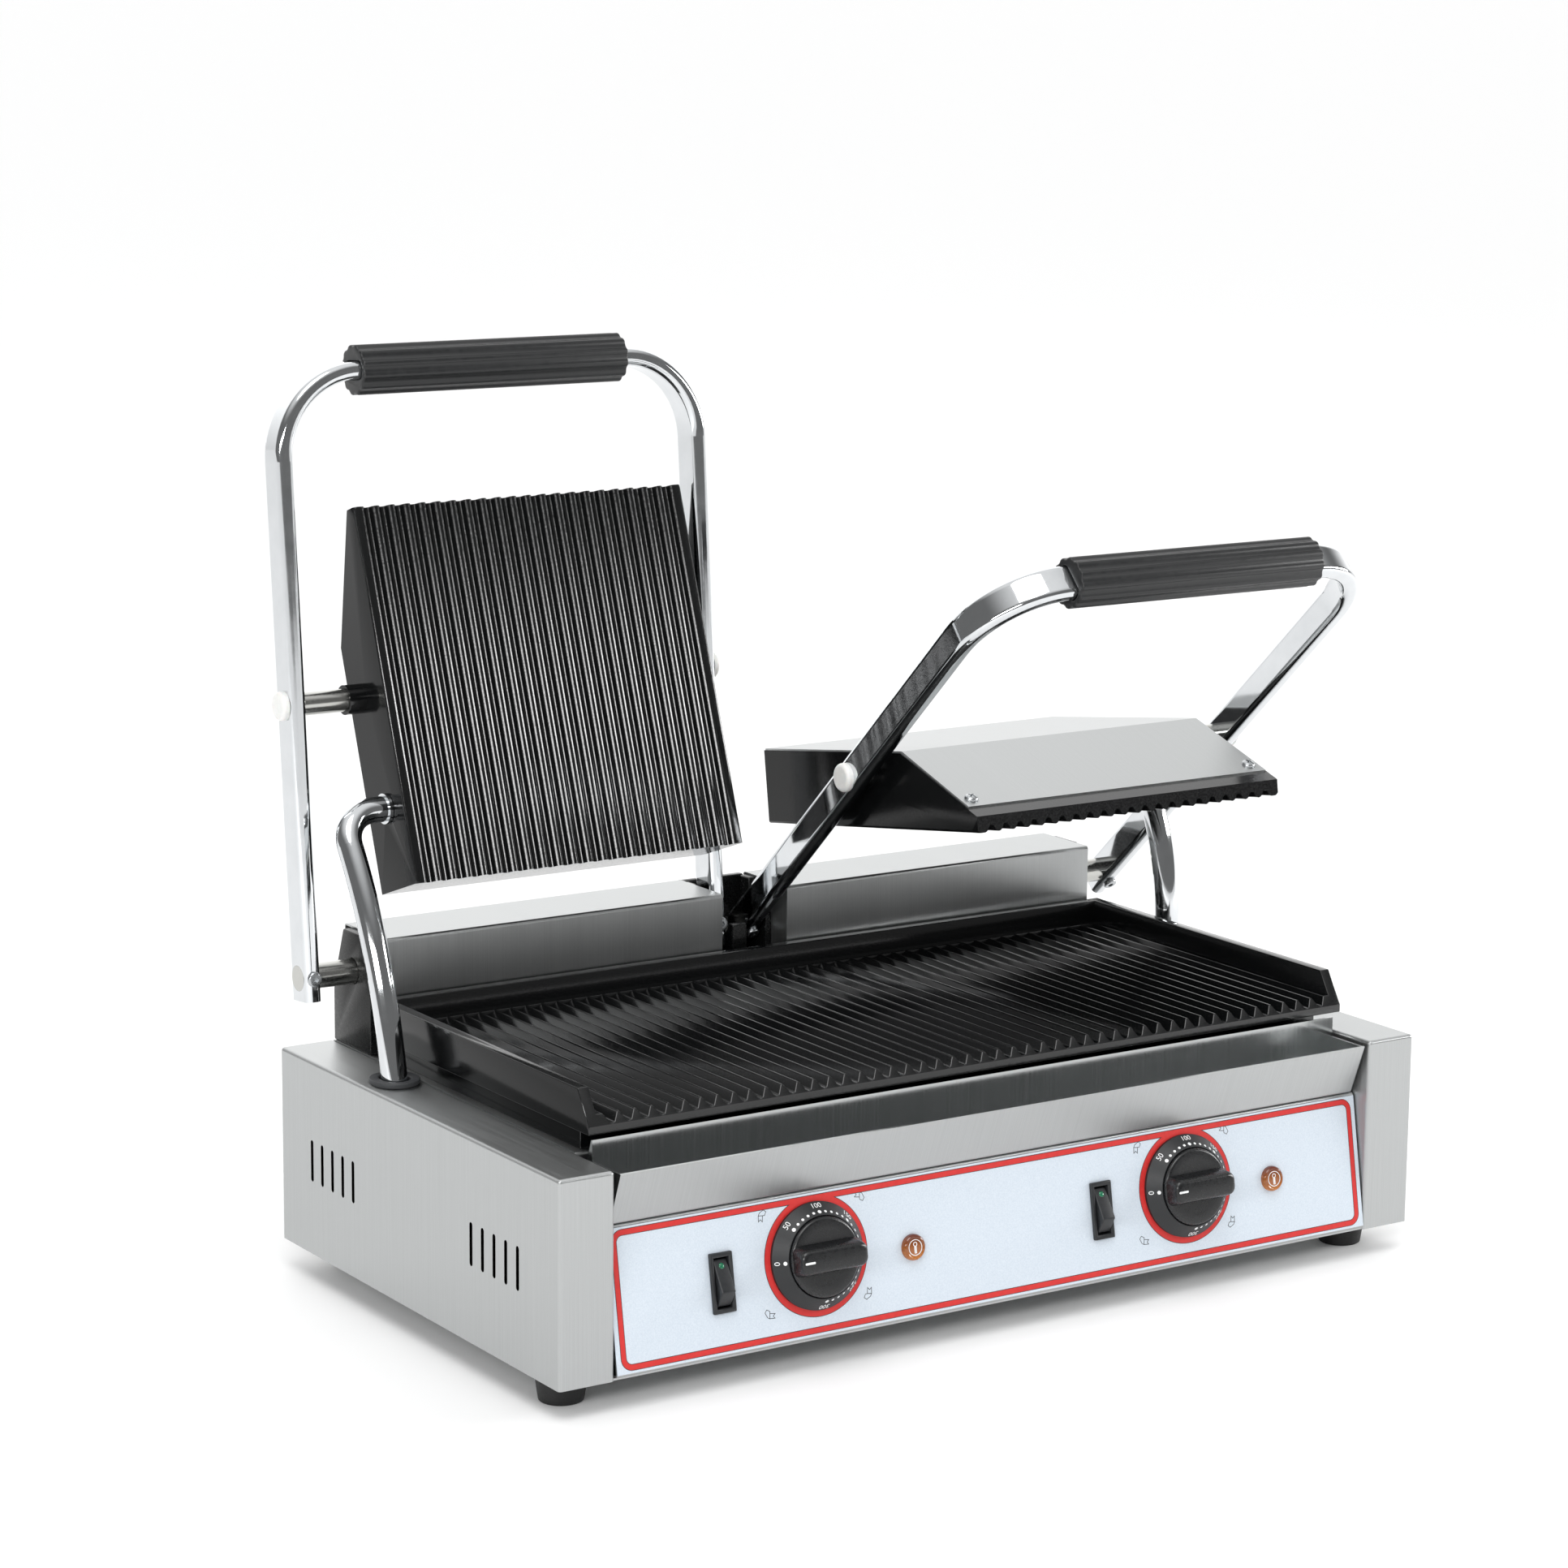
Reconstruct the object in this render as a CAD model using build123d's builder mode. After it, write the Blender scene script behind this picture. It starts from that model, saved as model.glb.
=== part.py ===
from build123d import *
import os
from math import acos, asin, atan2, cos, hypot, radians, sin, sqrt

# Double contact grill: a sheet-steel body, one wide ribbed lower plate and two hinged upper plates.
# Levels are above the underside of the body, depths are behind the front faces of its side covers.

# Body of folded sheet
body_width = 570.0
body_depth = 312.0
body_height = 112.0
side_cover_width = 33.0
sheet = 1.2
fold_radius = 2.0
front_y = -159.0
foot_height = 17.3
seat_gap = 0.1
running_gap = 0.05

# Vent slots and feet
vent_pitch = 12.3
vents_per_group = 5
vent_height = 24.0
vent_width = 3.2
vent_level = 54.5
front_vent_inset = 67.0
rear_vent_inset = 62.5
foot_front_inset = 21.0
foot_front_depth = 34.0
foot_rear_inset = 40.0
foot_rear_setback = 18.0
foot_bottom_radius = 12.0
foot_top_radius = 14.5
foot_bolt_radius = 2.5
foot_bolt_length = 5.0

# Chassis and control panel
deck_ledge = 24.0
panel_proud = 1.3
panel_slope_height = 79.5
panel_lean = 9.8
panel_flange = 13.0
panel_side_gap = 1.0
overlay_thickness = 0.4
overlay_margin = 1.8

# Controls, placed up the panel's slope and across from each knob
knob_spacing = 248.7
knob_rise = 44.25
dial_radius = 28.9
dial_rim = 1.8
dial_height = 8.2
dial_lip = 0.5
dial_floor = 1.6
dial_gap = 0.5
knob_gap = 0.3
knob_radius = 21.6
knob_base_height = 8.5
knob_bar_length = 41.6
knob_bar_width = 11.0
knob_bar_height = 9.3
knob_edge = 2.5
spindle_radius = 3.0
spindle_hole_gap = 1.0
spindle_engagement = 14.0
thermostat_size = 32.0
thermostat_depth = 20.0
switch_offset = -59.9
switch_rise = 39.5
switch_width = 14.0
switch_height = 32.0
switch_lap = 1.2
switch_rim = 2.2
switch_depth = 18.0
rocker_width = 8.4
rocker_height = 24.4
rocker_gap = 0.4
rocker_end_gap = 1.2
rocker_well = 9.0
rocker_root = 4.0
rocker_top = 2.9
rocker_nose = 6.3
rocker_nose_drop = 6.0
rocker_bottom = -1.5
rocker_tilt = 13.0
lamp_offset = 61.5
lamp_rise = 39.0
lamp_radius = 7.2
lamp_lap = 1.2
lamp_dome = 3.2
lamp_edge = 2.0
lamp_depth = 18.0

# Drip tray
tray_sheet = 1.0
tray_side_gap = 3.5
tray_seat_gap = 0.3
tray_setback = 1.0
tray_depth = 18.5
tray_front_height = 29.6
tray_front_lean = 11.0
tray_lip_gap = 3.2
tray_rear_gap = 2.3
tray_gusset = 8.0
tray_gusset_height = 24.0

# Lower plate
lower_side_gap = 0.1
lower_front_depth = 26.4
lower_rear_gap = 2.0
skirt_height = 12.0
skirt_side_inset = 5.0
skirt_front_inset = 17.0
skirt_wall = 8.0
lip_height = 4.5
crest_height = 10.0
wall_height = 23.0
wall_thickness = 6.5
wall_end_lean = 11.3
lower_rib_pitch = 10.1
lower_groove_depth = 5.0
lower_groove_width = 8.6
groove_radius = 2.0
groove_stop = 4.0
heater_radius = 4.0
heater_bend_share = 0.4
heater_inset = 34.0
heater_gap = 0.1

# Hinge line
hinge_setback = 23.0
hinge_rise = 44.5
shaft_radius = 7.2
bracket_side_gap = 1.0
bracket_width = 16.0
bracket_reach = 21.0
bracket_brow = 30.0
bracket_shoulder = 22.0
bracket_edge = 4.0
centre_base_height = 9.0
centre_back = 5.0
cheek_thickness = 4.0
cheek_gap = 0.9
cheek_radius = 13.0
web_half_width = 5.0
spring_lug = 12.0
spring_lug_depth = 10.0
spring_cover_reach = 29.0
spring_cover_back = 19.0
spring_cover_rise = 23.5
spring_cover_skirt = 62.0
spring_cover_lip = 20.0
spring_cover_flange = 20.5
spring_cover_sheet = 1.0
spring_cover_end_gap = 0.6
spring_cover_inset = 5.4

# Lids: a chrome bar bent to a U, with a grip, clamped to a shaft
arm_gap = 2.1
bar_thickness = 10.0
bar_width = 20.0
bar_edge = 4.0
bar_bend = 48.0
bar_tail = 13.0
pin_reach = 153.0
grip_reach = 336.0
grip_radius = 14.3
grip_half_length = 85.4
grip_flutes = 12
flute_radius = 4.0
flute_depth = 1.0
pin_radius = 6.5
pin_engagement = 8.5
cap_radius = 8.3
cap_height = 4.0
cap_edge = 2.5
set_screw_radius = 2.5
set_collar_radius = 4.2
set_collar_height = 2.4
lid_angles = {"left": 95.0, "right": 43.0}

# Upper plates, measured from their pivot pins
upper_side_gap = 7.9
upper_arm_gap = 6.4
upper_front = 103.0
upper_rear = 110.0
upper_face_drop = 30.9
upper_top_rise = 12.6
upper_knee = 32.5
upper_nose_height = 9.3
upper_wall = 6.0
upper_floor = 12.0
upper_nose_solid = 31.0
upper_rib_pitch = 9.75
upper_groove_depth = 4.0
upper_groove_width = 6.4
boss_radius = 8.4
outer_boss = 10.0
inner_boss = 3.0
upper_cover_sheet = 1.0
upper_cover_inset = 1.0
upper_cover_setback = 10.0
cover_screw_inset = 8.0
cover_screw_radius = 2.0
cover_screw_length = 7.0
cover_head_radius = 4.0
cover_head_height = 2.4
plate_angles = {"left": 109.4, "right": 8.5}

# Conduits: from each upper plate's side, round an elbow and down through a grommet
conduit_radius = 7.3
conduit_arm_gap = 1.2
conduit_setback = 64.5
conduit_drop = 10.4
conduit_elbow = 20.0
conduit_collar_radius = 8.6
conduit_collar = 2.0
conduit_collar_gap = 0.3
conduit_leads = {"left": -34.1, "right": -27.1}
conduit_straights = {"left": 22.0, "right": 34.1}
conduit_bends = {"left": 308.5, "right": 156.4}
conduit_tails = {"left": 6.1, "right": 43.7}
grommet_hole_width = 21.0
grommet_hole_length = 23.0
grommet_rim = 3.2
grommet_height = 3.0
grommet_side_gap = 0.6
grommet_end_gap = 1.8

# Mains cord gland on the back
gland_inset = 95.0
gland_level = 34.0
gland_radius = 9.0
gland_bore = 4.5
gland_nut_radius = 13.0
gland_nut = 4.0
gland_length = 16.0
gland_x = body_width / 2 - gland_inset

# Worked out from the sizes above
sides = ((-1, "left"), (1, "right"))
cover_inner_x = body_width / 2 - side_cover_width
hinge_depth = body_depth - hinge_setback
hinge_level = body_height + hinge_rise
bracket_outer_x = cover_inner_x - bracket_side_gap
bracket_front_depth = hinge_depth - bracket_reach
spring_cover_front = hinge_depth - spring_cover_reach
spring_cover_rear = hinge_depth + spring_cover_back
spring_cover_top = hinge_level + spring_cover_rise
spring_cover_outer_x = bracket_outer_x - spring_cover_inset
outer_arm_x = (body_width - bar_thickness) / 2
inner_arm_x = web_half_width + arm_gap + bar_thickness / 2
centre_half_width = inner_arm_x + bar_thickness / 2 + cheek_gap + cheek_thickness
conduit_x = outer_arm_x - bar_thickness / 2 - conduit_arm_gap - conduit_radius
lip_level = body_height + skirt_height
crest_level = lip_level + crest_height
wall_level = lip_level + wall_height
lower_width = 2 * (cover_inner_x - lower_side_gap)
lower_rear_depth = spring_cover_front - lower_rear_gap
lower_depth = lower_rear_depth - lower_front_depth
lower_grooves = int((lower_width - 2 * wall_thickness) / lower_rib_pitch)
upper_outer_x = lower_width / 2 - wall_thickness - upper_side_gap
upper_inner_x = inner_arm_x + bar_thickness / 2 + upper_arm_gap
upper_centre_x = (upper_outer_x + upper_inner_x) / 2
upper_half_width = (upper_outer_x - upper_inner_x) / 2
upper_grooves = int(2 * upper_half_width / upper_rib_pitch)
panel_half_width = cover_inner_x - panel_side_gap
panel_top_depth = panel_slope_height * sin(radians(panel_lean)) - panel_proud
panel_top_level = sheet + panel_slope_height * cos(radians(panel_lean))
tray_foot = panel_top_depth - tray_setback
tray_back = tray_foot + tray_depth
tray_level = panel_top_level + tray_seat_gap
bulkhead_depth = tray_back + tray_gusset + tray_rear_gap
cutout_width = switch_width - 2 * switch_lap
cutout_height = switch_height - 2 * switch_lap
spindle_hole = spindle_radius + spindle_hole_gap
lamp_hole = lamp_radius - lamp_lap
bracket_top = spring_cover_top - spring_cover_sheet - seat_gap
shaft_bore = shaft_radius + running_gap
pin_bore = pin_radius + running_gap
nose_top = upper_nose_height - upper_face_drop
slope_run = upper_front - upper_knee
slope_fall = upper_top_rise - nose_top
slope_length = hypot(slope_run, slope_fall)
cover_reach = 1 - upper_cover_setback / slope_length
on_base = (Align.CENTER, Align.CENTER, Align.MIN)
under_top = (Align.CENTER, Align.CENTER, Align.MAX)


def side_plane(x):
    """Upright plane across the body at x: first axis to the rear, second up."""
    return Plane(origin=(x, front_y, foot_height), x_dir=(0, 1, 0), z_dir=(1, 0, 0))


def level_plane(level):
    """Level plane: first axis to the right, second to the rear."""
    return Plane(origin=(0, front_y, foot_height + level))


def front_plane(depth):
    """Upright plane that faces the front: first axis to the right, second up."""
    return Plane(origin=(0, front_y + depth, foot_height), x_dir=(1, 0, 0), z_dir=(0, -1, 0))


def panel_plane(proud=0.0):
    """The leaning panel's face, moved out by proud: first axis to the right, second up the slope."""
    lean = radians(panel_lean)
    normal = Vector(0, -cos(lean), sin(lean))
    foot = Vector(0, front_y - panel_proud, foot_height + sheet)
    return Plane(origin=foot + normal * proud, x_dir=(1, 0, 0), z_dir=normal)


def tilted_plane(centre, angle, x):
    """Plane across a lid: first axis at angle above the front, second square to it, upwards."""
    tilt = radians(angle)
    return Plane(origin=(x, centre.Y, centre.Z), x_dir=(0, -cos(tilt), sin(tilt)), z_dir=(-1, 0, 0))


def cross_plane(centre, x):
    """Plane across a shaft or pin at x, centred on it."""
    return Plane(origin=(x, centre.Y, centre.Z), x_dir=(0, 1, 0), z_dir=(1, 0, 0))


hinge = Vector(0, front_y + hinge_depth, foot_height + hinge_level)


def arm_plane(name, x=0.0):
    """Plane across a lid's bar: first axis along the bar from the hinge."""
    return tilted_plane(hinge, lid_angles[name], x)


def pivot(name):
    """Centre of a lid's pivot pins."""
    return arm_plane(name).from_local_coords(Vector(pin_reach, 0, 0))


def plate_plane(name, x=0.0):
    """Plane across an upper plate at its pivot: first axis to its front edge, second to its top."""
    return tilted_plane(pivot(name), plate_angles[name], x)


def plate_level(name, rise):
    """Plane along an upper plate, above its pivot by rise: first axis to the right, second to the rear."""
    across = plate_plane(name)
    origin = across.from_local_coords(Vector(0, rise, 0))
    return Plane(origin=origin, x_dir=(1, 0, 0), z_dir=across.y_dir)


def slope_plane(name):
    """Plane on an upper plate's front slope, from the cover's front edge: second axis up the slope."""
    across = plate_plane(name)
    edge = Vector(upper_knee + cover_reach * slope_run, upper_top_rise - cover_reach * slope_fall, 0)
    normal = across.x_dir * (slope_fall / slope_length) + across.y_dir * (slope_run / slope_length)
    return Plane(origin=across.from_local_coords(edge), x_dir=(1, 0, 0), z_dir=normal)


def conduit_entry(name):
    """Where a conduit goes into its plate's side."""
    return plate_plane(name).from_local_coords(Vector(-conduit_setback, -conduit_drop, 0))


def conduit_down(name):
    """Direction of a conduit's straight run, downwards."""
    lead = radians(conduit_leads[name])
    return Vector(0, sin(lead), -cos(lead))


def bend_centre(name):
    """Centre of a conduit's long bend."""
    down = conduit_down(name)
    rearward = Vector(0, -down.Z, down.Y)
    return conduit_entry(name) + down * conduit_straights[name] + rearward * conduit_bends[name]


def cover_drop(name):
    """Height of a conduit's bend centre above the top of its side cover."""
    return bend_centre(name).Z - foot_height - body_height


def grommet_depth(name):
    """Depth at which a conduit goes through the top of its side cover."""
    return bend_centre(name).Y - front_y - sqrt(conduit_bends[name] ** 2 - cover_drop(name) ** 2)


def groove(width, depth):
    """Rounded V groove in a sketch, below the line of the rib crests."""
    half = width / 2
    low = groove_radius - depth
    touch = atan2(-low, half) - acos(groove_radius / hypot(half, low))
    side_x = groove_radius * cos(touch)
    side_y = low + groove_radius * sin(touch)
    Polygon((half, 0), (side_x, side_y), (-side_x, side_y), (-half, 0), align=None)
    with Locations((0, low)):
        Circle(groove_radius)


def serpentine(left, right, front, rear):
    """Route of a tubular heater: four runs front to rear, ends at the rear."""
    third = (right - left) / 3
    bend = third * heater_bend_share
    short = rear - bend
    FilletPolyline(
        (left, rear),
        (left, front),
        (left + third, front),
        (left + third, short),
        (right - third, short),
        (right - third, front),
        (right, front),
        (right, rear),
        radius=bend,
    )


def save(part, label):
    part.label = label
    export_step(part, f"parts/{label}.step")


os.makedirs("parts", exist_ok=True)

# Side covers: folded boxes, open below, with vent slots and the conduit's opening
for side, name in sides:
    with BuildPart(level_plane(0)) as side_cover:
        with Locations((side * (body_width - side_cover_width) / 2, body_depth / 2, 0)):
            Box(side_cover_width, body_depth, body_height, align=on_base)
        upright = side_cover.edges().filter_by(Axis.Z)
        fillet(upright + side_cover.edges().group_by(Axis.Z)[-1], fold_radius)
        offset(amount=-sheet, openings=side_cover.faces().sort_by(Axis.Z)[0])
        with Locations((side * cover_inner_x, body_depth / 2, 0)):
            Box(4 * sheet, body_depth - 2 * sheet, sheet + seat_gap, align=on_base, mode=Mode.SUBTRACT)
        with BuildSketch(side_plane(side * body_width / 2)):
            rear_vent_depth = body_depth - rear_vent_inset
            with Locations((front_vent_inset, vent_level), (rear_vent_depth, vent_level)):
                with GridLocations(vent_pitch, vent_height, vents_per_group, 1):
                    SlotOverall(vent_height, vent_width, rotation=90)
        extrude(amount=2 * sheet, both=True, mode=Mode.SUBTRACT)
        with BuildSketch(level_plane(body_height)):
            with Locations((side * conduit_x, grommet_depth(name))):
                SlotOverall(grommet_hole_length, grommet_hole_width, rotation=90)
        extrude(amount=2 * sheet, both=True, mode=Mode.SUBTRACT)
    save(side_cover.part, f"{name}_side_cover")

# Base pan inside the covers, drilled for the feet
front_foot_x = body_width / 2 - foot_front_inset
rear_foot_x = body_width / 2 - foot_rear_inset
foot_points = {}
for side, name in sides:
    foot_points[f"{name}_front"] = (side * front_foot_x, foot_front_depth)
    foot_points[f"{name}_rear"] = (side * rear_foot_x, body_depth - foot_rear_setback)
pan_inset = sheet + seat_gap
with BuildPart(level_plane(0)) as base_pan:
    with Locations((0, body_depth / 2, 0)):
        Box(body_width - 2 * pan_inset, body_depth - 2 * pan_inset, sheet, align=on_base)
    fillet(base_pan.edges().filter_by(Axis.Z), fold_radius)
    with BuildSketch(level_plane(0)):
        with Locations(*foot_points.values()):
            Circle(foot_bolt_radius + running_gap)
    extrude(amount=sheet, mode=Mode.SUBTRACT)
save(base_pan.part, "base_pan")

# Feet: tapered rubber with a moulded-in bolt
for corner, point in foot_points.items():
    with BuildPart(level_plane(-foot_height)) as foot:
        with Locations(point):
            Cone(foot_bottom_radius, foot_top_radius, foot_height, align=on_base)
            Cylinder(foot_bolt_radius, foot_height + foot_bolt_length, align=on_base)
    save(foot.part, f"{corner}_foot")

# Chassis: bulkhead, deck and back wall folded from one sheet, open under the lower plate
with BuildPart() as chassis:
    with BuildSketch(side_plane(0)):
        with BuildLine():
            FilletPolyline(
                (bulkhead_depth, sheet),
                (bulkhead_depth, body_height),
                (body_depth, body_height),
                (body_depth, sheet),
                radius=fold_radius,
            )
            offset(amount=sheet, side=Side.RIGHT)
        make_face()
    extrude(amount=cover_inner_x - seat_gap, both=True)
    with BuildSketch(level_plane(body_height)):
        with Locations((0, lower_front_depth + lower_depth / 2)):
            Rectangle(lower_width - 2 * deck_ledge, lower_depth - 2 * deck_ledge)
    extrude(amount=-2 * sheet, mode=Mode.SUBTRACT)
    with BuildSketch(front_plane(body_depth)):
        with Locations((gland_x, gland_level)):
            Circle(gland_radius + seat_gap)
        with Locations((0, vent_level)):
            with GridLocations(vent_pitch, vent_height, 2 * vents_per_group, 1):
                SlotOverall(vent_height, vent_width, rotation=90)
    extrude(amount=2 * sheet, both=True, mode=Mode.SUBTRACT)
save(chassis.part, "chassis_deck")

# Gland for the mains cord, with a nut on each side of the back wall
with BuildPart(front_plane(body_depth)) as gland:
    with Locations((gland_x, gland_level, 0)):
        Cylinder(gland_radius, 2 * gland_length)
        Cylinder(gland_nut_radius, gland_nut, align=under_top)
    with Locations((gland_x, gland_level, sheet)):
        Cylinder(gland_nut_radius, gland_nut, align=on_base)
    with Locations((gland_x, gland_level, 0)):
        Cylinder(gland_bore, 2 * gland_length, mode=Mode.SUBTRACT)
save(gland.part, "cord_gland")


def control_openings(mode):
    """The panel's openings for spindles, lamps and switches, in a sketch on the panel."""
    for side, name in sides:
        x = side * knob_spacing / 2
        with Locations((x, knob_rise)):
            Circle(spindle_hole, mode=mode)
        with Locations((x + lamp_offset, lamp_rise)):
            Circle(lamp_hole, mode=mode)
        with Locations((x + switch_offset, switch_rise)):
            Rectangle(cutout_width, cutout_height, mode=mode)


# Control panel: a leaning sheet with a flange at its foot and one at its head
with BuildPart() as panel:
    with BuildSketch(side_plane(0)):
        with BuildLine():
            FilletPolyline(
                (panel_flange, sheet),
                (-panel_proud, sheet),
                (panel_top_depth, panel_top_level),
                (panel_top_depth + panel_flange, panel_top_level),
                radius=fold_radius,
            )
            offset(amount=sheet, side=Side.RIGHT)
        make_face()
    extrude(amount=panel_half_width, both=True)
    with BuildSketch(panel_plane()):
        control_openings(Mode.ADD)
    extrude(amount=3 * sheet, both=True, mode=Mode.SUBTRACT)
save(panel.part, "control_panel")

# Printed film on the panel
with BuildPart() as overlay:
    with BuildSketch(panel_plane()):
        with Locations((0, panel_slope_height / 2)):
            Rectangle(2 * panel_half_width, panel_slope_height - 2 * overlay_margin)
        control_openings(Mode.SUBTRACT)
    extrude(amount=overlay_thickness)
save(overlay.part, "panel_overlay")

# Controls: conical dial, thermostat, knob, switch and lamp for each half
for side, name in sides:
    knob_x = side * knob_spacing / 2
    switch_x = knob_x + switch_offset
    lamp_x = knob_x + lamp_offset
    face = panel_plane(overlay_thickness)

    with BuildPart(face) as dial:
        dial_bore = knob_radius + dial_gap
        with Locations((knob_x, knob_rise, 0)):
            Cylinder(dial_radius, dial_rim, align=on_base)
        with Locations((knob_x, knob_rise, dial_rim)):
            Cone(dial_radius, dial_bore + dial_lip, dial_height - dial_rim, align=on_base)
        with Locations((knob_x, knob_rise, dial_floor)):
            Cylinder(dial_bore, dial_height, align=on_base, mode=Mode.SUBTRACT)
        with Locations((knob_x, knob_rise, 0)):
            Cylinder(spindle_hole, dial_floor, align=on_base, mode=Mode.SUBTRACT)
    save(dial.part, f"{name}_dial_plate")

    with BuildPart(panel_plane(-sheet)) as thermostat:
        with Locations((knob_x, knob_rise, 0)):
            Box(thermostat_size, thermostat_size, thermostat_depth, align=under_top)
            spindle_bore = spindle_radius + running_gap
            Cylinder(spindle_bore, thermostat_depth, align=under_top, mode=Mode.SUBTRACT)
    save(thermostat.part, f"{name}_thermostat")

    knob_proud = overlay_thickness + dial_floor + knob_gap
    knob_face = panel_plane(knob_proud)
    with BuildPart(knob_face) as knob:
        with Locations((knob_x, knob_rise, 0)):
            Cylinder(knob_radius, knob_base_height, align=on_base)
            Cylinder(spindle_radius, knob_proud + sheet + spindle_engagement, align=under_top)
        with BuildSketch(knob_face.offset(knob_base_height)):
            with Locations((knob_x, knob_rise)):
                RectangleRounded(knob_bar_length, knob_bar_width, knob_edge)
        extrude(amount=knob_bar_height)
    save(knob.part, f"{name}_knob")

    with BuildPart(face) as switch:
        with Locations((switch_x, switch_rise, 0)):
            Box(switch_width, switch_height, switch_rim, align=on_base)
            Box(cutout_width - 2 * seat_gap, cutout_height - 2 * seat_gap, switch_depth, align=under_top)
            well_width = rocker_width + 2 * rocker_gap
            well_height = rocker_height + 2 * rocker_end_gap
            Box(well_width, well_height, 2 * rocker_well, mode=Mode.SUBTRACT)
    save(switch.part, f"{name}_switch_housing")

    tilt = radians(rocker_tilt)
    rocker_line = face.y_dir * cos(tilt) - face.z_dir * sin(tilt)
    rocker_centre = face.from_local_coords(Vector(switch_x, switch_rise, 0))
    rocker_end = rocker_height / 2
    with BuildPart() as rocker:
        with BuildSketch(Plane(origin=rocker_centre, x_dir=rocker_line, z_dir=(1, 0, 0))):
            Polygon(
                (-rocker_end, -rocker_root),
                (rocker_end, -rocker_root),
                (rocker_end, rocker_top),
                (-rocker_nose_drop, rocker_nose),
                (-rocker_end, rocker_bottom),
                align=None,
            )
        extrude(amount=rocker_width / 2, both=True)
    save(rocker.part, f"{name}_rocker")

    with BuildPart(face) as lamp:
        with Locations((lamp_x, lamp_rise, 0)):
            Cylinder(lamp_radius, lamp_dome, align=on_base)
        fillet(lamp.edges().filter_by(GeomType.CIRCLE).sort_by(Axis.Y)[0], lamp_edge)
        with Locations((lamp_x, lamp_rise, 0)):
            Cylinder(lamp_hole - seat_gap, lamp_depth, align=under_top)
    save(lamp.part, f"{name}_lamp")

# Drip tray: a folded trough with closed ends, its front leaning out over the panel
tray_half_width = cover_inner_x - tray_side_gap
tray_front_top = (tray_foot - tray_front_lean, tray_level + tray_front_height)
tray_back_top = lip_level - tray_lip_gap
with BuildPart() as tray:
    with BuildSketch(side_plane(0)):
        with BuildLine():
            FilletPolyline(
                tray_front_top,
                (tray_foot, tray_level),
                (tray_back, tray_level),
                (tray_back, tray_back_top),
                radius=fold_radius,
            )
            offset(amount=tray_sheet, side=Side.LEFT)
        make_face()
    extrude(amount=tray_half_width, both=True)
    for side, name in sides:
        with BuildSketch(side_plane(side * tray_half_width)):
            Polygon(
                tray_front_top,
                (tray_foot, tray_level + fold_radius),
                (tray_foot + fold_radius, tray_level),
                (tray_back - fold_radius, tray_level),
                (tray_back, tray_level + fold_radius),
                (tray_back, tray_front_top[1]),
                align=None,
            )
            gusset_foot = tray_back_top - tray_gusset_height
            gusset_heel = (tray_back + tray_gusset, gusset_foot)
            Polygon((tray_back, tray_back_top), (tray_back, gusset_foot), gusset_heel, align=None)
        extrude(amount=-side * tray_sheet)
save(tray.part, "drip_tray")

# Lower plate: a ribbed slab with a bevelled front lip, walls on three sides and a skirt below
lower_half = lower_width / 2
bevel = wall_end_lean * (crest_height - lip_height) / (wall_height - lip_height)
skirt_front = lower_front_depth + skirt_front_inset
skirt_rear = lower_rear_depth - skirt_side_inset
with BuildPart() as lower_plate:
    with BuildSketch(side_plane(0)):
        Polygon(
            (lower_front_depth, lip_level),
            (lower_front_depth, lip_level + lip_height),
            (lower_front_depth + bevel, crest_level),
            (lower_rear_depth, crest_level),
            (lower_rear_depth, lip_level),
            align=None,
        )
    extrude(amount=lower_half, both=True)
    with BuildSketch(front_plane(lower_front_depth)):
        with Locations((0, crest_level)):
            with GridLocations(lower_rib_pitch, lower_groove_depth, lower_grooves, 1):
                groove(lower_groove_width, lower_groove_depth)
    extrude(amount=wall_thickness + groove_stop - lower_depth, mode=Mode.SUBTRACT)
    for side, name in sides:
        with BuildSketch(side_plane(side * lower_half)):
            Polygon(
                (lower_front_depth, lip_level + lip_height),
                (lower_front_depth + wall_end_lean, wall_level),
                (lower_rear_depth, wall_level),
                (lower_rear_depth, lip_level + lip_height),
                align=None,
            )
        extrude(amount=-side * wall_thickness)
    with BuildSketch(level_plane(crest_level)):
        with Locations((0, lower_rear_depth - wall_thickness / 2)):
            Rectangle(lower_width, wall_thickness)
    extrude(amount=wall_level - crest_level)
    with BuildSketch(level_plane(body_height)):
        with Locations((0, (skirt_front + skirt_rear) / 2)):
            skirt_width = lower_width - 2 * skirt_side_inset
            skirt_depth = skirt_rear - skirt_front
            Rectangle(skirt_width, skirt_depth)
            Rectangle(skirt_width - 2 * skirt_wall, skirt_depth - 2 * skirt_wall, mode=Mode.SUBTRACT)
    extrude(amount=skirt_height)
save(lower_plate.part, "lower_plate")

# Tubular heaters under the lower plate
heater_level = lip_level - heater_radius - heater_gap
for side, name in sides:
    near = side * heater_inset
    far = side * (lower_half - heater_inset)
    with BuildPart() as heater:
        with BuildLine(level_plane(heater_level)) as route:
            serpentine(min(near, far), max(near, far), skirt_front + heater_inset, skirt_rear - heater_inset)
        with BuildSketch(Plane(origin=route.line @ 0, z_dir=route.line % 0)):
            Circle(heater_radius)
        sweep()
    save(heater.part, f"{name}_lower_heater")

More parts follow.
